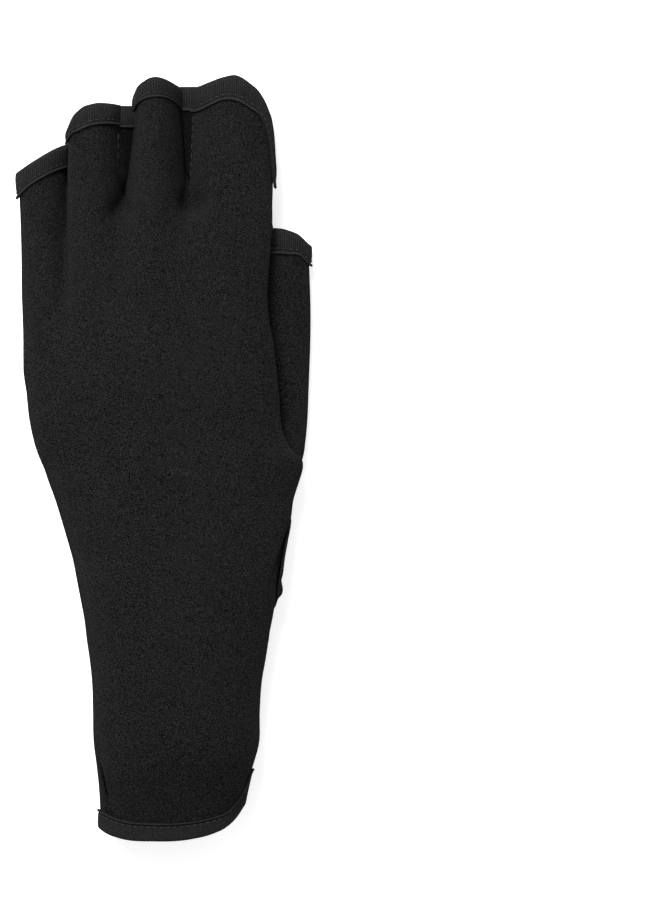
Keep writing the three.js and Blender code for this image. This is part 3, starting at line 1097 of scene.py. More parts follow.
@dataclass
class ClothParts:
    """The back, the palm and the thumb, cut from one soft field.

    Sizes are in millimetres, and places are shares of the length.
    """

    step: float = 0.9
    smooth_rounds: int = 3
    smooth_pull: float = 0.5
    knuckle_fillet: float = 5.0
    little_fillets: tuple[float, float] = (1.0, 5.0)
    little_valley: tuple[float, float] = (0.63, 0.75)
    finger_fillet: float = 0.8
    front_round: float = 6.0
    front_along: float = 0.818
    fingers_along: float = 0.8
    floor_round: float = 0.6
    seam_groove: float = 0.4
    seam_width: float = 1.3
    seam_gap: float = 0.03
    crease_groove: float = 0.9
    crease_narrowing: float = 0.45
    crease_side: tuple[float, float] = (5.0, 10.0)
    crease_end: tuple[float, float] = (0.14, 0.11)
    slit_width: float = 0.9
    slit_start: tuple[float, float] = (0.050, 0.062)
    slit_end: tuple[float, float] = (0.096, 0.108)
    ridge_height: float = 0.3
    ridge_place: float = 1.3
    ridge_side: tuple[float, float] = (5.0, 12.0)
    ridge_start: tuple[float, float] = (0.12, 0.20)
    ridge_end: tuple[float, float] = (0.42, 0.47)
    fold_height: float = 0.35
    fold_size: float = 1.7
    fold_rise: tuple[float, float] = (12.0, 18.0)
    back_rise: tuple[float, float] = (12.0, 16.0)
    wave_height: float = 0.16
    wave_rise: tuple[float, float] = (4.0, 10.0)
    short_wave: tuple[float, float] = (7.1, 15.7)
    short_start: tuple[float, float] = (1.3, 0.4)
    long_wave: tuple[float, float] = (12.9, 21.3)
    long_share: float = 0.8
    thumb_along: float = 0.68
    thumb_room: float = 0.1
    thumb_tuck: float = 0.05
    volumes: dict[str, Volume] = field(default_factory=dict)

    # across: share of the palm width. along: share of the length. size, depth: millimetres.
    PUCKERS = (
        (0.124, 0.829, 4.2, 3.0),
        (-0.175, 0.819, 3.4, 2.6),
    )

    # along, across: places of the fold that bulges over the hem at the thumb side.
    HEM_FOLD = (
        (0.134, 0.345),
        (0.124, 0.342),
        (0.114, 0.337),
        (0.104, 0.331),
        (0.094, 0.323),
        (0.084, 0.313),
        (0.074, 0.300),
        (0.064, 0.284),
    )

    def measure(self) -> None:
        """Fills the volumes of the hand with its fingers, and of the thumb."""
        _, y, z = Volume.axes(self.step)
        front = y - SIZES.y(self.front_along) + 0 * z
        hand = Volume.of(HAND, self.step).capped(front, self.front_round)
        fingers = {}
        for digit, sleeve in SLEEVES.items():
            start = sleeve.y[0] - y + 0 * z
            fingers[digit] = Volume.of(sleeve, self.step).capped(start, self.front_round)
        row = fingers[Digit.RING].joined(fingers[Digit.MIDDLE], self.finger_fillet)
        row = row.joined(fingers[Digit.INDEX], self.finger_fillet)
        near, far = self.little_fillets
        fade = smooth_step(y + 0 * z, *SIZES.y(self.little_valley))
        fillet = far + (near - far) * fade
        whole = hand.joined(row, self.knuckle_fillet).joined(fingers[Digit.LITTLE], fillet)
        floor = -z + 0 * whole.distance
        self.volumes["hand"] = whole.capped(floor, self.floor_round)
        self.volumes["thumb"] = fingers[Digit.THUMB].capped(floor, self.floor_round)
        for digit in FINGERS:
            self.volumes[digit.value] = fingers[digit]

    def skin(self, name: str) -> tuple[Array, Array]:
        """A volume's smoothed surface, as points and triangles."""
        points, triangles = self.volumes[name].surface()
        return relaxed(points, triangles, self.smooth_rounds, self.smooth_pull), triangles

    def past_edges(self, points: Array) -> Array:
        """Measures how far points are past the cuff's or a finger's cloth edge.

        Args:
            points: Points of shape (count, 3).

        Returns:
            Distances along the glove, under 0 on the cloth.
        """
        reach = SIZES.tape_reach
        x, y = points[:, 0], points[:, 1]
        past = CUFF.line(x, 1.0) + reach - y
        nearest = np.argmin([self.volumes[digit.value].sample(points) for digit in FINGERS], axis=0)
        front = y > SIZES.y(self.fingers_along)
        for place, digit in enumerate(FINGERS):
            tip = y - OPENINGS[digit].line(x, 1.0) + reach
            past = np.where(front & (nearest == place), np.maximum(past, tip), past)
        return past

    def past_seam(self, points: Array, side: int) -> Array:
        """Measures how far points are past the side seams.

        Args:
            points: Points of shape (count, 3).
            side: 1 for the back's piece, -1 for the palm's, which stays back along the cuff's crease.

        Returns:
            Heights, under 0 on the piece.
        """
        x, y, z = points.T
        past = side * (side_seam(x, y) - z) + self.seam_gap
        return past if side > 0 else past + self.slit(x, y)

    def crease(self, x: Array, y: Array) -> Array:
        """How much the seam folds into a crease, which it does at the cuff's little side."""
        return smooth_step(-x, *self.crease_side) * smooth_step(-y, *-SIZES.y(self.crease_end))

    def slit(self, x: Array, y: Array) -> Array:
        """Measures how far the palm's edge stays back from the seam, which opens the cuff's crease.

        Args:
            x: Places across.
            y: Places along.

        Returns:
            Heights.
        """
        opens = smooth_step(y, *SIZES.y(self.slit_start))
        closes = smooth_step(y, *SIZES.y(self.slit_end))
        return self.slit_width * self.crease(x, y) * opens * (1 - closes)

    def settled(self, points: Array, triangles: Array) -> Array:
        """Adds the seam's groove, the puckers and the cloth's slight unevenness.

        Args:
            points: The hand's points.
            triangles: Its triangles.

        Returns:
            The moved points, none of them under the floor.
        """
        normals = point_normals(points, triangles)
        x, y, z = points.T
        crease = self.crease(x, y)
        seam = (z - side_seam(x, y)) / (self.seam_width - self.crease_narrowing * crease)
        push = -(self.seam_groove + self.crease_groove * crease) * np.exp(-(seam**2))
        rolled = smooth_step(x, *self.ridge_side) * smooth_step(y, *SIZES.y(self.ridge_start))
        rolled *= 1 - smooth_step(y, *SIZES.y(self.ridge_end))
        push += self.ridge_height * rolled * np.exp(-((seam - self.ridge_place) ** 2))
        on_top = smooth_step(z, *self.fold_rise)
        for along, across in self.HEM_FOLD:
            away = np.hypot(x - SIZES.x(across), y - SIZES.y(along))
            push += self.fold_height * np.exp(-((away / self.fold_size) ** 2)) * on_top
        on_back = smooth_step(z, *self.back_rise)
        for across, along, size, depth in self.PUCKERS:
            away = np.hypot(x - SIZES.x(across), y - SIZES.y(along))
            push -= on_back * depth * np.exp(-((away / size) ** 2))
        across, along = self.short_wave
        from_side, from_cuff = self.short_start
        wave = np.sin(x / across + from_side) * np.sin(y / along + from_cuff)
        across, along = self.long_wave
        wave += np.sin(x / across - y / along) * self.long_share
        push += self.wave_height * wave * smooth_step(z, *self.wave_rise)
        moved = points + normals * push[:, None]
        moved[:, 2] = np.maximum(moved[:, 2], 0)
        return moved

    def build(self) -> None:
        """Cuts the three cloth pieces, gives them walls and dresses them."""
        self.measure()
        points, triangles = self.skin("hand")
        points, triangles = trimmed(self.settled(points, triangles), triangles, self.past_edges)
        thumb = self.volumes["thumb"]
        way_end = SIZES.y(self.thumb_along)
        points, triangles = trimmed(
            points, triangles,
            lambda p: np.minimum(-thumb.sample(p) - self.thumb_room, way_end - p[:, 1]),
        )
        for name, node, side in (("back_cloth", "back_panel", 1), ("palm_cloth", "palm_panel", -1)):
            kept = trimmed(points, triangles, lambda p: self.past_seam(p, side))
            piece = walled(mesh_object(name, *kept, merge=MERGE), SIZES.cloth)
            dress(piece, KNIT, [node])
        self.build_thumb()

    def build_thumb(self) -> None:
        """Cuts the thumb's sleeve where it meets the hand."""
        hand = self.volumes["hand"]
        opening = OPENINGS[Digit.THUMB]
        points, triangles = trimmed(
            *self.skin("thumb"), lambda p: p[:, 1] - opening.line(p[:, 0], 1.0) + SIZES.tape_reach
        )
        points, triangles = trimmed(points, triangles, lambda p: self.thumb_tuck - hand.sample(p))
        piece = walled(mesh_object("thumb_cloth", points, triangles, merge=MERGE), SIZES.cloth)
        dress(piece, KNIT, ["thumb_sleeve"])


@dataclass
class Tape:
    """A ribbed tape folded round an edge of cloth, open or closed into a loop."""

    name: str
    node: str
    rib_pitch: float = 0.7
    rib_height: float = 0.07
    samples_per_rib: int = 4
    stitch_share: float = 0.2
    stitch_height: float = 0.72
    least_width: float = 2.0
    spacing_share: float = 0.6
    pucker_fade: float = 0.3
    fold_height: float = 0.92
    inner_height: float = 0.75
    inner_rib: float = 0.4
    cloth: float = SIZES.cloth
    closed: bool = True
    finish: ClothFinish = RIBBED_TAPE

    # share: from the band's end, 0, to the cloth's edge, 1. height: above the cloth. ribs: how much.
    OUTER = (
        (0.03, 0.05, 0.0),
        (-0.03, 0.40, 0.0),
        (-0.045, 0.70, 0.0),
        (-0.02, 1.00, 0.0),
        (0.03, 1.08, 0.0),
        (0.08, 0.92, 0.0),
        (0.12, 0.55, 0.2),
        (0.18, 0.52, 0.6),
        (0.26, 0.70, 1.0),
        (0.45, 0.84, 1.0),
        (0.65, 0.92, 1.0),
        (0.85, 0.93, 1.0),
    )
    # share and ribs of the inner side, from the fold back.
    INNER = ((0.75, 1.0), (0.5, 1.0), (0.36, 0.6))
    # share, cloth walls down and height of the side that lies on the cloth, round its edge.
    SNUG = ((0.34, 1, -0.08), (0.97, 1, -0.08), (0.97, 0, 0.06))
    # height, turn for a sample and start of the waves that pucker the tape.
    WAVES = ((0.10, 0.147, 0.7), (0.05, 0.39, 0.0))
    FOLD_STEPS = 6

    def surface(self, run: Array, share: Array) -> tuple[Array, Array, Array]:
        """Points of the cloth at runs and shares, their outward normals and the way to the edge."""
        raise NotImplementedError

    def length_runs(self) -> Array:
        """Closely spaced runs along the whole edge."""
        raise NotImplementedError

    def runs(self) -> Array:
        """Spaces runs evenly along the edge.

        Returns:
            The runs, some to each rib.
        """
        close = self.length_runs()
        edge = self.surface(close, np.full_like(close, self.spacing_share))[0]
        far = np.concatenate([[0], np.cumsum(np.linalg.norm(np.diff(edge, axis=0), axis=1))])
        ribs = max(4, round(far[-1] / self.rib_pitch))
        count = ribs * self.samples_per_rib
        even = np.arange(count + (not self.closed)) / count
        return np.interp(even, far / far[-1], close)

    def build(self, slot: Slot = Slot.TAPE) -> None:
        """Builds the tape and dresses it.

        Args:
            slot: Not used; it is only passed on to mesh.
        """
        run = self.runs()
        place = np.arange(len(run))
        rib = np.cos(2 * math.pi * place / self.samples_per_rib) * self.rib_height
        reach = SIZES.tape_reach
        width = np.linalg.norm(self.surface(run, 1 + 0 * run)[0] - self.surface(run, 0 * run)[0], axis=1)
        pulled = 1 - reach / np.maximum(width, self.least_width)
        pucker = sum(height * np.sin(place * turn + start) for height, turn, start in self.WAVES)
        if self.closed:
            pucker *= np.sin(math.pi * (place + 0.5) / len(place)) ** self.pucker_fade
        rows = []
        shares = []
        for share, height, ribs in self.OUTER:
            here, normal, _ = self.surface(run, share * pulled)
            rows.append(here + normal * (height + ribs * rib + pucker * max(share, 0))[:, None])
            shares.append(share)
        here, normal, to_edge = self.surface(run, pulled)
        half = self.cloth / 2 + self.fold_height
        for step in range(self.FOLD_STEPS + 1):
            angle = math.pi * step / self.FOLD_STEPS
            out = reach * math.sin(angle)
            lift = -self.cloth / 2 + (half + rib) * math.cos(angle)
            rows.append(here + normal * lift[:, None] + to_edge * out)
            shares.append(1 + step / self.FOLD_STEPS)
        for share, ribs in self.INNER:
            here, normal, _ = self.surface(run, share * pulled)
            depth = self.cloth + self.inner_height - self.inner_rib * rib * ribs
            rows.append(here - normal * depth[:, None])
            shares.append(3 - share)
        for share, walls, height in self.SNUG:
            here, normal, _ = self.surface(run, share * pulled)
            rows.append(here + normal * (height - walls * self.cloth))
            shares.append(3 - share)
        points = np.stack(rows)
        points[..., 2] = np.maximum(points[..., 2], 0.0)
        self.mesh(points, np.array(shares), slot)

    def mesh(self, points: Array, shares: Array, slot: Slot) -> None:
        """Makes the tape's closed mesh with its UV map.

        Args:
            points: Points of shape (rows, runs, 3).
            shares: The rows' shares, for the map's V.
            slot: Not used.
        """
        high, wide = points.shape[:2]
        index = np.arange(high * wide).reshape(high, wide)
        here = np.arange(wide if self.closed else wide - 1)
        there = (here + 1) % wide
        up = np.arange(high)
        over = (up + 1) % high
        low_left, low_right = index[up][:, here], index[up][:, there]
        high_left, high_right = index[over][:, here], index[over][:, there]
        faces = np.stack([low_left, low_right, high_right, high_left], -1).reshape(-1, 4).tolist()
        ribs = np.broadcast_to(here / self.samples_per_rib, (high, len(here)))
        next_ribs = ribs + 1 / self.samples_per_rib
        low_share = np.broadcast_to(shares[up][:, None], ribs.shape)
        high_share = np.broadcast_to(shares[over][:, None], ribs.shape)
        across = np.stack([ribs, next_ribs, next_ribs, ribs], -1)
        along = np.stack([low_share, low_share, high_share, high_share], -1)
        places = np.stack([across, along], -1).reshape(-1, 2)
        if not self.closed:
            for column in (0, wide - 1):
                faces.append(index[:, column].tolist())
                ends = np.stack([np.full(high, column / self.samples_per_rib), shares], -1)
                places = np.concatenate([places, ends])
        piece = mesh_object(self.name, points.reshape(-1, 3), faces)
        layer = piece.data.uv_layers.new(name="tape_map")
        layer.data.foreach_set("uv", places.astype(np.float32).ravel())
        face_outwards(piece)
        dress(piece, self.finish, [self.node] if self.node else [])

    def stitch_line(self) -> Array:
        """Finds the line that the tape's stitches follow.

        Returns:
            Its points.
        """
        run = self.length_runs()[::3]
        here, normal, _ = self.surface(run, np.full_like(run, self.stitch_share))
        return here + normal * self.stitch_height


@dataclass
class Binding(Tape):
    """The tape round an opening of a sleeve. Its runs are turns round the sleeve."""

    sleeve: Sleeve = None
    opening: Opening = None
    search: tuple[float, float] = (-0.1, 1.1)
    edge_step: float = 0.02
    turns: int = 721

    def places(self, turn: Array, share: Array) -> Array:
        """Finds where a line of the band crosses the sleeve.

        Args:
            turn: Turns round the sleeve.
            share: The line, from the band's end, 0, to the edge, 1.

        Returns:
            Places along the glove.
        """
        start, end = SIZES.y(self.search)
        low = np.full(np.broadcast(turn, share).shape, start)
        high = np.full_like(low, end)
        for _ in range(HALVINGS):
            middle = (low + high) / 2
            past = middle > self.opening.line(self.sleeve.point(turn, middle)[..., 0], share)
            low, high = np.where(past, low, middle), np.where(past, middle, high)
        return (low + high) / 2

    def surface(self, run: Array, share: Array) -> tuple[Array, Array, Array]:
        """Finds points of the cloth.

        Args:
            run: Turns round the sleeve.
            share: From the band's end, 0, to the cloth's edge, 1.

        Returns:
            The points, their outward normals and the way to the edge.
        """
        y = self.places(run, share)
        here = self.sleeve.point(run, y)
        small = 1e-3
        round_way = self.sleeve.point(run + small, y) - self.sleeve.point(run - small, y)
        along_way = self.sleeve.point(run, y + small) - self.sleeve.point(run, y - small)
        normal = np.cross(along_way, round_way)
        normal /= np.maximum(np.linalg.norm(normal, axis=-1), TINY)[..., None]
        middle = np.stack([
            (self.sleeve.at("left", y) + self.sleeve.at("right", y)) / 2,
            y,
            (self.sleeve.at("crown", y) + self.sleeve.at("floor", y)) / 2,
        ], -1)
        flip = np.sign(np.einsum("...i,...i->...", normal, here - middle))
        normal *= np.where(flip == 0, 1, flip)[..., None]
        to_edge = self.sleeve.point(run, self.places(run, share + self.edge_step)) - here
        to_edge /= np.maximum(np.linalg.norm(to_edge, axis=-1), TINY)[..., None]
        return here, normal, to_edge

    def length_runs(self) -> Array:
        """One whole turn round the sleeve."""
        return np.linspace(0, 2 * math.pi, self.turns)


@dataclass(frozen=True)
class WebFold:
    """Where a web is sewn on and how it lies in its valley.

    tip, band, root are shares of the length. The drops are millimetres under each finger's crown.
    """

    name: str
    node: str
    sewn: Digit
    other: Digit
    tip: float
    band: float
    root: float
    sewn_drop: float
    other_drop: float


WEB_FOLDS = (
    WebFold("index_web", "web_index_middle", Digit.INDEX, Digit.MIDDLE, 0.984, 0.953, 0.838, 10.5, 13.0),
    WebFold("ring_web", "web_middle_ring", Digit.RING, Digit.MIDDLE, 0.959, 0.931, 0.834, 8.0, 11.0),
    WebFold("little_web", "web_ring_little", Digit.LITTLE, Digit.RING, 0.900, 0.874, 0.800, 7.0, 19.0),
)


@dataclass
class Web:
    """A web's strip, sewn to one finger's flank and folded down into the valley.

    Sizes are in millimetres.
    """

    fold: WebFold
    thickness: float = 1.2
    steps: int = 60
    across: int = 12
    overlap: tuple[float, float] = (-0.12, 1.3)
    end_margin: float = 0.004
    bulge: float = 0.5
    lift: float = 0.15
    ripple: float = 0.12
    ripple_length: float = 2.9
    sink: float = 4.0
    sink_span: float = 0.035
    lowest: float = 1.5
    stitch_share: float = 0.04
    stitch_height: float = 0.12

    def flank(self, digit: Digit, y: Array, drop: Array, towards: int) -> Array:
        """A point on a finger's flank, some millimetres under its crown.

        Args:
            digit: The finger.
            y: Places along it.
            drop: How far under the crown.
            towards: 1 for its thumb side, -1 for its little side.

        Returns:
            Points of shape (len(y), 3).
        """
        sleeve = SLEEVES[digit]
        crown, floor = sleeve.at("crown", y), sleeve.at("floor", y)
        seam = sleeve.at("seam_right" if towards > 0 else "seam_left", y)
        height = crown - drop
        rise = np.clip((height - seam) / (crown - seam), 0, 1)
        fall = np.clip((seam - height) / (seam - floor), 0, 1)
        above = (1 - rise**sleeve.roundness) ** (1 / sleeve.roundness)
        below = (1 - fall**LOWER_ROUNDNESS) ** (1 / LOWER_ROUNDNESS)
        x = sleeve.x(towards * np.minimum(above, below), y)
        return np.stack([x, y, height], -1)

    def strip(self, share: Array, y: Array) -> Array:
        """Points of the strip's top.

        Args:
            share: From the seam, 0, to the other finger, 1. It may go a little past both.
            y: Places along.

        Returns:
            Points of shape (..., 3).
        """
        fold = self.fold
        reach = SLEEVES[fold.other].at("left", y[:1]) < SLEEVES[fold.sewn].at("left", y[:1])
        side = 1 if reach[0] else -1
        start = self.flank(fold.sewn, y, fold.sewn_drop, -side)
        end = self.flank(fold.other, y, fold.other_drop, side)
        share = share[..., None]
        point = start + (end - start) * share
        inside = np.clip(share[..., 0], 0, 1)
        bulge = self.bulge * np.sin(inside * math.pi) + self.lift
        ripple = self.ripple * np.sin(y / self.ripple_length) * inside
        root = SIZES.y(fold.root)
        sunk = self.sink * (1 - smooth_step(y, root, root + self.sink_span * SIZES.length))
        point[..., 2] = np.maximum(point[..., 2] + bulge + ripple - sunk, self.lowest)
        return point

    def build(self) -> None:
        """Builds the strip, its bound end and its seam, and dresses them."""
        fold = self.fold
        y = SIZES.y(np.linspace(fold.root, fold.tip - self.end_margin, self.steps))
        rows = [self.strip(np.full_like(y, share), y) for share in np.linspace(*self.overlap, self.across)]
        piece = sheet(fold.name, rows, self.thickness, face_up=True)
        # The strip's darker knit is painted valley shade.
        dress(piece, SHADED_WEB_KNIT, [fold.node])
        WebEnd(f"{fold.name}_tape", "", web=self, closed=False, cloth=self.thickness).build(Slot.TAPE)
        if fold.sewn is not Digit.LITTLE:
            Stitches.build(f"{fold.name}_seam", self.stitch_line(), Slot.WEB, WEB_STITCH)

    def stitch_line(self) -> Array:
        """Finds the dashed seam along the finger that the web is sewn to.

        Returns:
            Its points.
        """
        y = SIZES.y(np.linspace(self.fold.root, self.fold.band, self.steps))
        line = self.strip(np.full_like(y, self.stitch_share), y)
        line[:, 2] += self.stitch_height
        return line


@dataclass
class WebEnd(Tape):
    """The tape over a web's end. Its runs are shares across the strip."""

    web: Web = None
    over_step: float = 0.01
    along_step: float = 0.05
    reach: tuple[float, float] = (-0.05, 1.2)
    turns: int = 121

    def surface(self, run: Array, share: Array) -> tuple[Array, Array, Array]:
        """Finds points of the strip.

        Args:
            run: Shares across it.
            share: From the band's end, 0, to its edge, 1.

        Returns:
            The points, their normals and the way to the edge.
        """
        fold = self.web.fold
        band, edge = SIZES.y(fold.band), SIZES.y(fold.tip)
        y = band + (edge - band) * share
        here = self.web.strip(run, y)
        aside, ahead = self.over_step, self.along_step
        over = self.web.strip(run + aside, y) - self.web.strip(run - aside, y)
        along = self.web.strip(run, y + ahead) - self.web.strip(run, y - ahead)
        normal = np.cross(over, along)
        normal /= np.maximum(np.linalg.norm(normal, axis=-1), TINY)[..., None]
        normal *= np.sign(normal[..., 2])[..., None]
        along /= np.maximum(np.linalg.norm(along, axis=-1), TINY)[..., None]
        return here, normal, along

    def length_runs(self) -> Array:
        """The way across the strip."""
        return np.linspace(*self.reach, self.turns)


@dataclass
class CreaseBacking:
    """The seam's allowance inside the cuff, which closes the crease from within.

    Sizes are in millimetres, the turn in radians, and low and high are shares of the length.
    """

    name: str = "crease_backing"
    low: float = 0.040
    high: float = 0.118
    half_turn: float = 0.16
    depth: float = 3.3
    thickness: float = 0.5
    steps: int = 40
    rows: int = 7

    def build(self) -> None:
        """Builds the strip under the crease and dresses it."""
        y = SIZES.y(np.linspace(self.low, self.high, self.steps))
        near, far = np.full_like(y, math.pi / 2), np.full_like(y, math.pi)
        for _ in range(HALVINGS):
            middle = (near + far) / 2
            here = HAND.point(middle, y)
            above = here[:, 2] > side_seam(here[:, 0], y)
            near, far = np.where(above, middle, near), np.where(above, far, middle)
        rows = []
        for offset in np.linspace(-self.half_turn, self.half_turn, self.rows):
            here = HAND.point(near + offset, y)
            inwards = np.stack([-here[:, 0], 0 * y, HAND.at("crown", y) / 2 - here[:, 2]], -1)
            inwards /= np.linalg.norm(inwards, axis=1)[:, None]
            rows.append(here + inwards * self.depth)
        dress(sheet(self.name, rows, self.thickness), KNIT)


@dataclass
class SeamAllowance:
    """The loose edge of the side seam under the thumb's root, with a dark slit beside it.

    low, high: heights of its foot and its top in millimetres.
    """

    name: str = "side_seam_edge"
    thickness: float = 0.9
    low: float = 9.5
    high: float = 20.0
    steps: int = 90
    squareness: float = 0.35
    overrun: float = 1.02

    # along: share of the length. slit, outer: shares of the palm width.
    ROWS = (
        (0.303, 0.428, 0.429),
        (0.309, 0.433, 0.438),
        (0.317, 0.440, 0.448),
        (0.322, 0.443, 0.461),
        (0.328, 0.447, 0.466),
        (0.336, 0.451, 0.463),
        (0.341, 0.454, 0.461),
        (0.348, 0.457, 0.466),
        (0.360, 0.463, 0.471),
        (0.371, 0.468, 0.475),
        (0.393, 0.480, 0.487),
        (0.410, 0.490, 0.494),
        (0.426, 0.496, 0.495),
    )

    # edge: 0 at the slit, 1 at the outer edge. out, up: millimetres from there. stand: share of the rise.
    SECTION = (
        (0, -4.0, 0.0, -1.0),
        (0, -1.2, 0.0, -0.5),
        (0, -0.35, 0.0, 0.0),
        (0, -0.20, 0.8, 0.0),
        (0, 0.10, 1.0, 0.0),
        (1, 0.15, 1.0, -0.3),
    )

    def build(self) -> None:
        """Builds the edge and dresses it."""
        along, slit, outer = np.array(self.ROWS).T
        y = SIZES.y(np.linspace(along[0], along[-1], self.steps))
        slit = smooth_curve(SIZES.y(along), SIZES.x(slit), y)
        outer = smooth_curve(SIZES.y(along), SIZES.x(outer), y)
        t = np.linspace(0, 1, self.steps)
        rise = (self.high - self.low) * np.sin(math.pi * np.clip(t * self.overrun, 0, 1)) ** self.squareness
        rows = []
        for edge, out, stand, up in self.SECTION:
            x = slit + (outer - slit) * edge + out
            rows.append(np.stack([x, y, self.low + rise * stand + up], -1))
        dress(sheet(self.name, rows, self.thickness), KNIT)


@dataclass(frozen=True)
class Stitch:
    """One kind of stitch, in millimetres."""

    pitch: float
    length: float
    width: float


TAPE_STITCH = Stitch(pitch=2.2, length=1.4, width=0.42)
WEB_STITCH = Stitch(pitch=3.0, length=2.1, width=0.38)


class Stitches:
    """Rows of stitches, set along lines by Geometry Nodes."""

    @classmethod
    def tree(cls) -> bpy.types.GeometryNodeTree:
        """Builds the tree that sets one stitch at each step of a line.

        Returns:
            The tree, with the line, the stitch's sizes and the material as inputs.
        """
        name = "stitch_row"
        if name in bpy.data.node_groups:
            return bpy.data.node_groups[name]
        tree = bpy.data.node_groups.new(name, "GeometryNodeTree")
        tree.interface.new_socket(name="Line", in_out="INPUT", socket_type="NodeSocketGeometry")
        for label in ("Pitch", "Length", "Width"):
            tree.interface.new_socket(name=label, in_out="INPUT", socket_type="NodeSocketFloat")
        tree.interface.new_socket(name="Material", in_out="INPUT", socket_type="NodeSocketMaterial")
        tree.interface.new_socket(name="Stitches", in_out="OUTPUT", socket_type="NodeSocketGeometry")
        given = added(tree, "NodeGroupInput", {}).outputs
        curve = added(tree, "GeometryNodeMeshToCurve", {"Mesh": given["Line"]}).outputs["Curve"]
        spaced = added(
            tree, "GeometryNodeResampleCurve", {"Curve": curve, "Length": given["Pitch"]}, mode="LENGTH"
        ).outputs["Curve"]
        ball = added(
            tree, "GeometryNodeMeshUVSphere", {"Segments": 8, "Rings": 6, "Radius": 0.5}
        ).outputs["Mesh"]
        tangent = added(tree, "GeometryNodeInputTangent", {}).outputs["Tangent"]
        turn = added(
            tree, "FunctionNodeAlignRotationToVector", {"Vector": tangent}, axis="Z"
        ).outputs["Rotation"]
        size = added(
            tree, "ShaderNodeCombineXYZ",
            {"X": given["Width"], "Y": given["Width"], "Z": given["Length"]},
        ).outputs["Vector"]
        placed = added(
            tree, "GeometryNodeInstanceOnPoints",
            {"Points": spaced, "Instance": ball, "Rotation": turn, "Scale": size},
        ).outputs["Instances"]
        real = added(tree, "GeometryNodeRealizeInstances", {"Geometry": placed}).outputs["Geometry"]
        dyed = added(
            tree, "GeometryNodeSetMaterial", {"Geometry": real, "Material": given["Material"]}
        ).outputs["Geometry"]
        added(tree, "NodeGroupOutput", {"Stitches": dyed})
        return tree

    @classmethod
    def build(cls, name: str, line: Array, slot: Slot, stitch: Stitch) -> None:
        """Sews one row.

        Args:
            name: The piece's name.
            line: The points that it follows, in millimetres.
            slot: Not used.
            stitch: The kind of stitch.
        """
        mesh = bpy.data.meshes.new(name)
        edges = [(place, place + 1) for place in range(len(line) - 1)]
        mesh.from_pydata((np.asarray(line) * MM).tolist(), edges, [])
        piece = bpy.data.objects.new(name, mesh)
        bpy.context.collection.objects.link(piece)
        sewn = piece.modifiers.new("stitches", "NODES")
        sewn.node_group = cls.tree()
        sizes = {"Pitch": stitch.pitch, "Length": stitch.length, "Width": stitch.width}
        for item in sewn.node_group.interface.items_tree:
            if item.in_out == "INPUT" and item.name in sizes:
                sewn[item.identifier] = sizes[item.name] * MM
            if item.in_out == "INPUT" and item.name == "Material":
                sewn[item.identifier] = THREAD.material()
        applied(piece)
        piece.data.polygons.foreach_set("use_smooth", [True] * len(piece.data.polygons))
        dress(piece, THREAD)


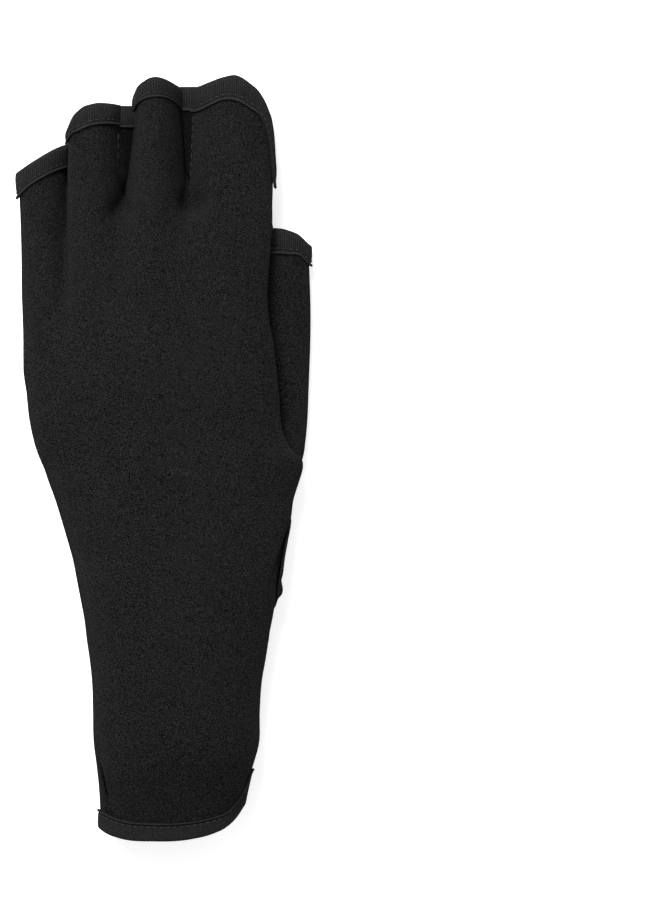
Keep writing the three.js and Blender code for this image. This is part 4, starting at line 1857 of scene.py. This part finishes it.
@dataclass
class Studio:
    """A pale floor, a soft light and a camera straight above, as the photo has them.

    Places are metres, and the photo's own measures are pixels.
    """

    image_width: float = 660.0
    image_height: float = 900.0
    glove_middle_x: float = 164.5
    glove_middle_y: float = 458.0
    glove_pixels: float = 768.0
    camera_height: float = 4.5
    focus_height: float = 0.014
    key_place: tuple[float, float, float] = (-0.26, 0.52, 0.78)
    key_aim: tuple[float, float, float] = (-0.01, 0.025, 0.0)
    key_size: float = 0.5
    key_spread: float = 45.0
    key_watts: float = 1.5
    sky: float = 0.6
    floor_half: float = 3.0
    floor_tone: float = 0.9
    floor_glow: float = 0.6
    sensor: float = 36.0

    def build(self) -> None:
        """Makes the floor, the lights and the camera."""
        scale = (CAD_HIGH.y - CAD_LOW.y) / self.glove_pixels
        middle_x = (self.image_width / 2 - self.glove_middle_x) * scale
        middle_y = (self.glove_middle_y - self.image_height / 2) * scale
        self.floor()
        self.camera(middle_x, middle_y, scale)
        self.lights()

    def floor(self) -> None:
        """Makes the floor."""
        half = self.floor_half
        corners = [(-half, -half, 0), (half, -half, 0), (half, half, 0), (-half, half, 0)]
        mesh = bpy.data.meshes.new("floor")
        mesh.from_pydata(corners, [], [(0, 1, 2, 3)])
        made = bpy.data.objects.new("floor", mesh)
        bpy.context.collection.objects.link(made)
        paint = bpy.data.materials.new("pale_floor")
        paint.use_nodes = True
        shader = paint.node_tree.nodes["Principled BSDF"]
        shader.inputs["Base Color"].default_value = (self.floor_tone,) * 3 + (1,)
        shader.inputs["Roughness"].default_value = 0.9
        shader.inputs["Emission Color"].default_value = (1, 1, 1, 1)
        shader.inputs["Emission Strength"].default_value = self.floor_glow
        mesh.materials.append(paint)

    def camera(self, middle_x: float, middle_y: float, scale: float) -> None:
        """Makes the camera straight above the photo's middle.

        Args:
            middle_x: The middle of the picture across the floor.
            middle_y: The middle of the picture along the floor.
            scale: Metres of the floor for a pixel.
        """
        seen = self.image_height * scale
        data = bpy.data.cameras.new("camera")
        data.sensor_width = self.sensor
        data.sensor_fit = "AUTO"
        above = self.camera_height - self.focus_height
        data.lens = data.sensor_width * above / seen
        made = bpy.data.objects.new("camera", data)
        made.location = (middle_x, middle_y, self.camera_height)
        bpy.context.collection.objects.link(made)
        bpy.context.scene.camera = made

    def lights(self) -> None:
        """Makes a gridded soft light from the fingers' side and a pale world all round."""
        data = bpy.data.lights.new("key_light", "AREA")
        data.energy = self.key_watts
        data.size = self.key_size
        data.spread = math.radians(self.key_spread)
        made = bpy.data.objects.new("key_light", data)
        place, aim = Vector(self.key_place), Vector(self.key_aim)
        made.location = place
        made.visible_camera = False
        made.rotation_mode = "QUATERNION"
        made.rotation_quaternion = (aim - place).to_track_quat("-Z", "Y")
        bpy.context.collection.objects.link(made)
        world = bpy.data.worlds.new("studio")
        world.use_nodes = True
        backdrop = world.node_tree.nodes["Background"]
        backdrop.inputs["Color"].default_value = (1, 1, 1, 1)
        backdrop.inputs["Strength"].default_value = self.sky
        bpy.context.scene.world = world
        bpy.context.scene.view_settings.view_transform = "Standard"


def build_bindings() -> None:
    """Builds the six bindings with their stitches."""
    made = []
    for digit in Digit:
        name, node = f"{digit.value}_tape", f"binding_{digit.value}"
        made.append(Binding(name, node, sleeve=SLEEVES[digit], opening=OPENINGS[digit]))
    made.append(Binding("cuff_tape", "binding_cuff", finish=CUFF_TAPE, sleeve=HAND, opening=CUFF))
    for binding in made:
        binding.build()
        Stitches.build(f"{binding.name}_stitches", binding.stitch_line(), Slot.TAPE, TAPE_STITCH)


def main() -> None:
    """Builds the glove piece by piece."""
    logging.basicConfig(level=logging.INFO, format="%(name)s: %(message)s")
    Studio().build()
    ClothParts().build()
    build_bindings()
    for fold in WEB_FOLDS:
        Web(fold).build()
    SeamAllowance().build()
    CreaseBacking().build()


if __name__ == "__main__":
    main()
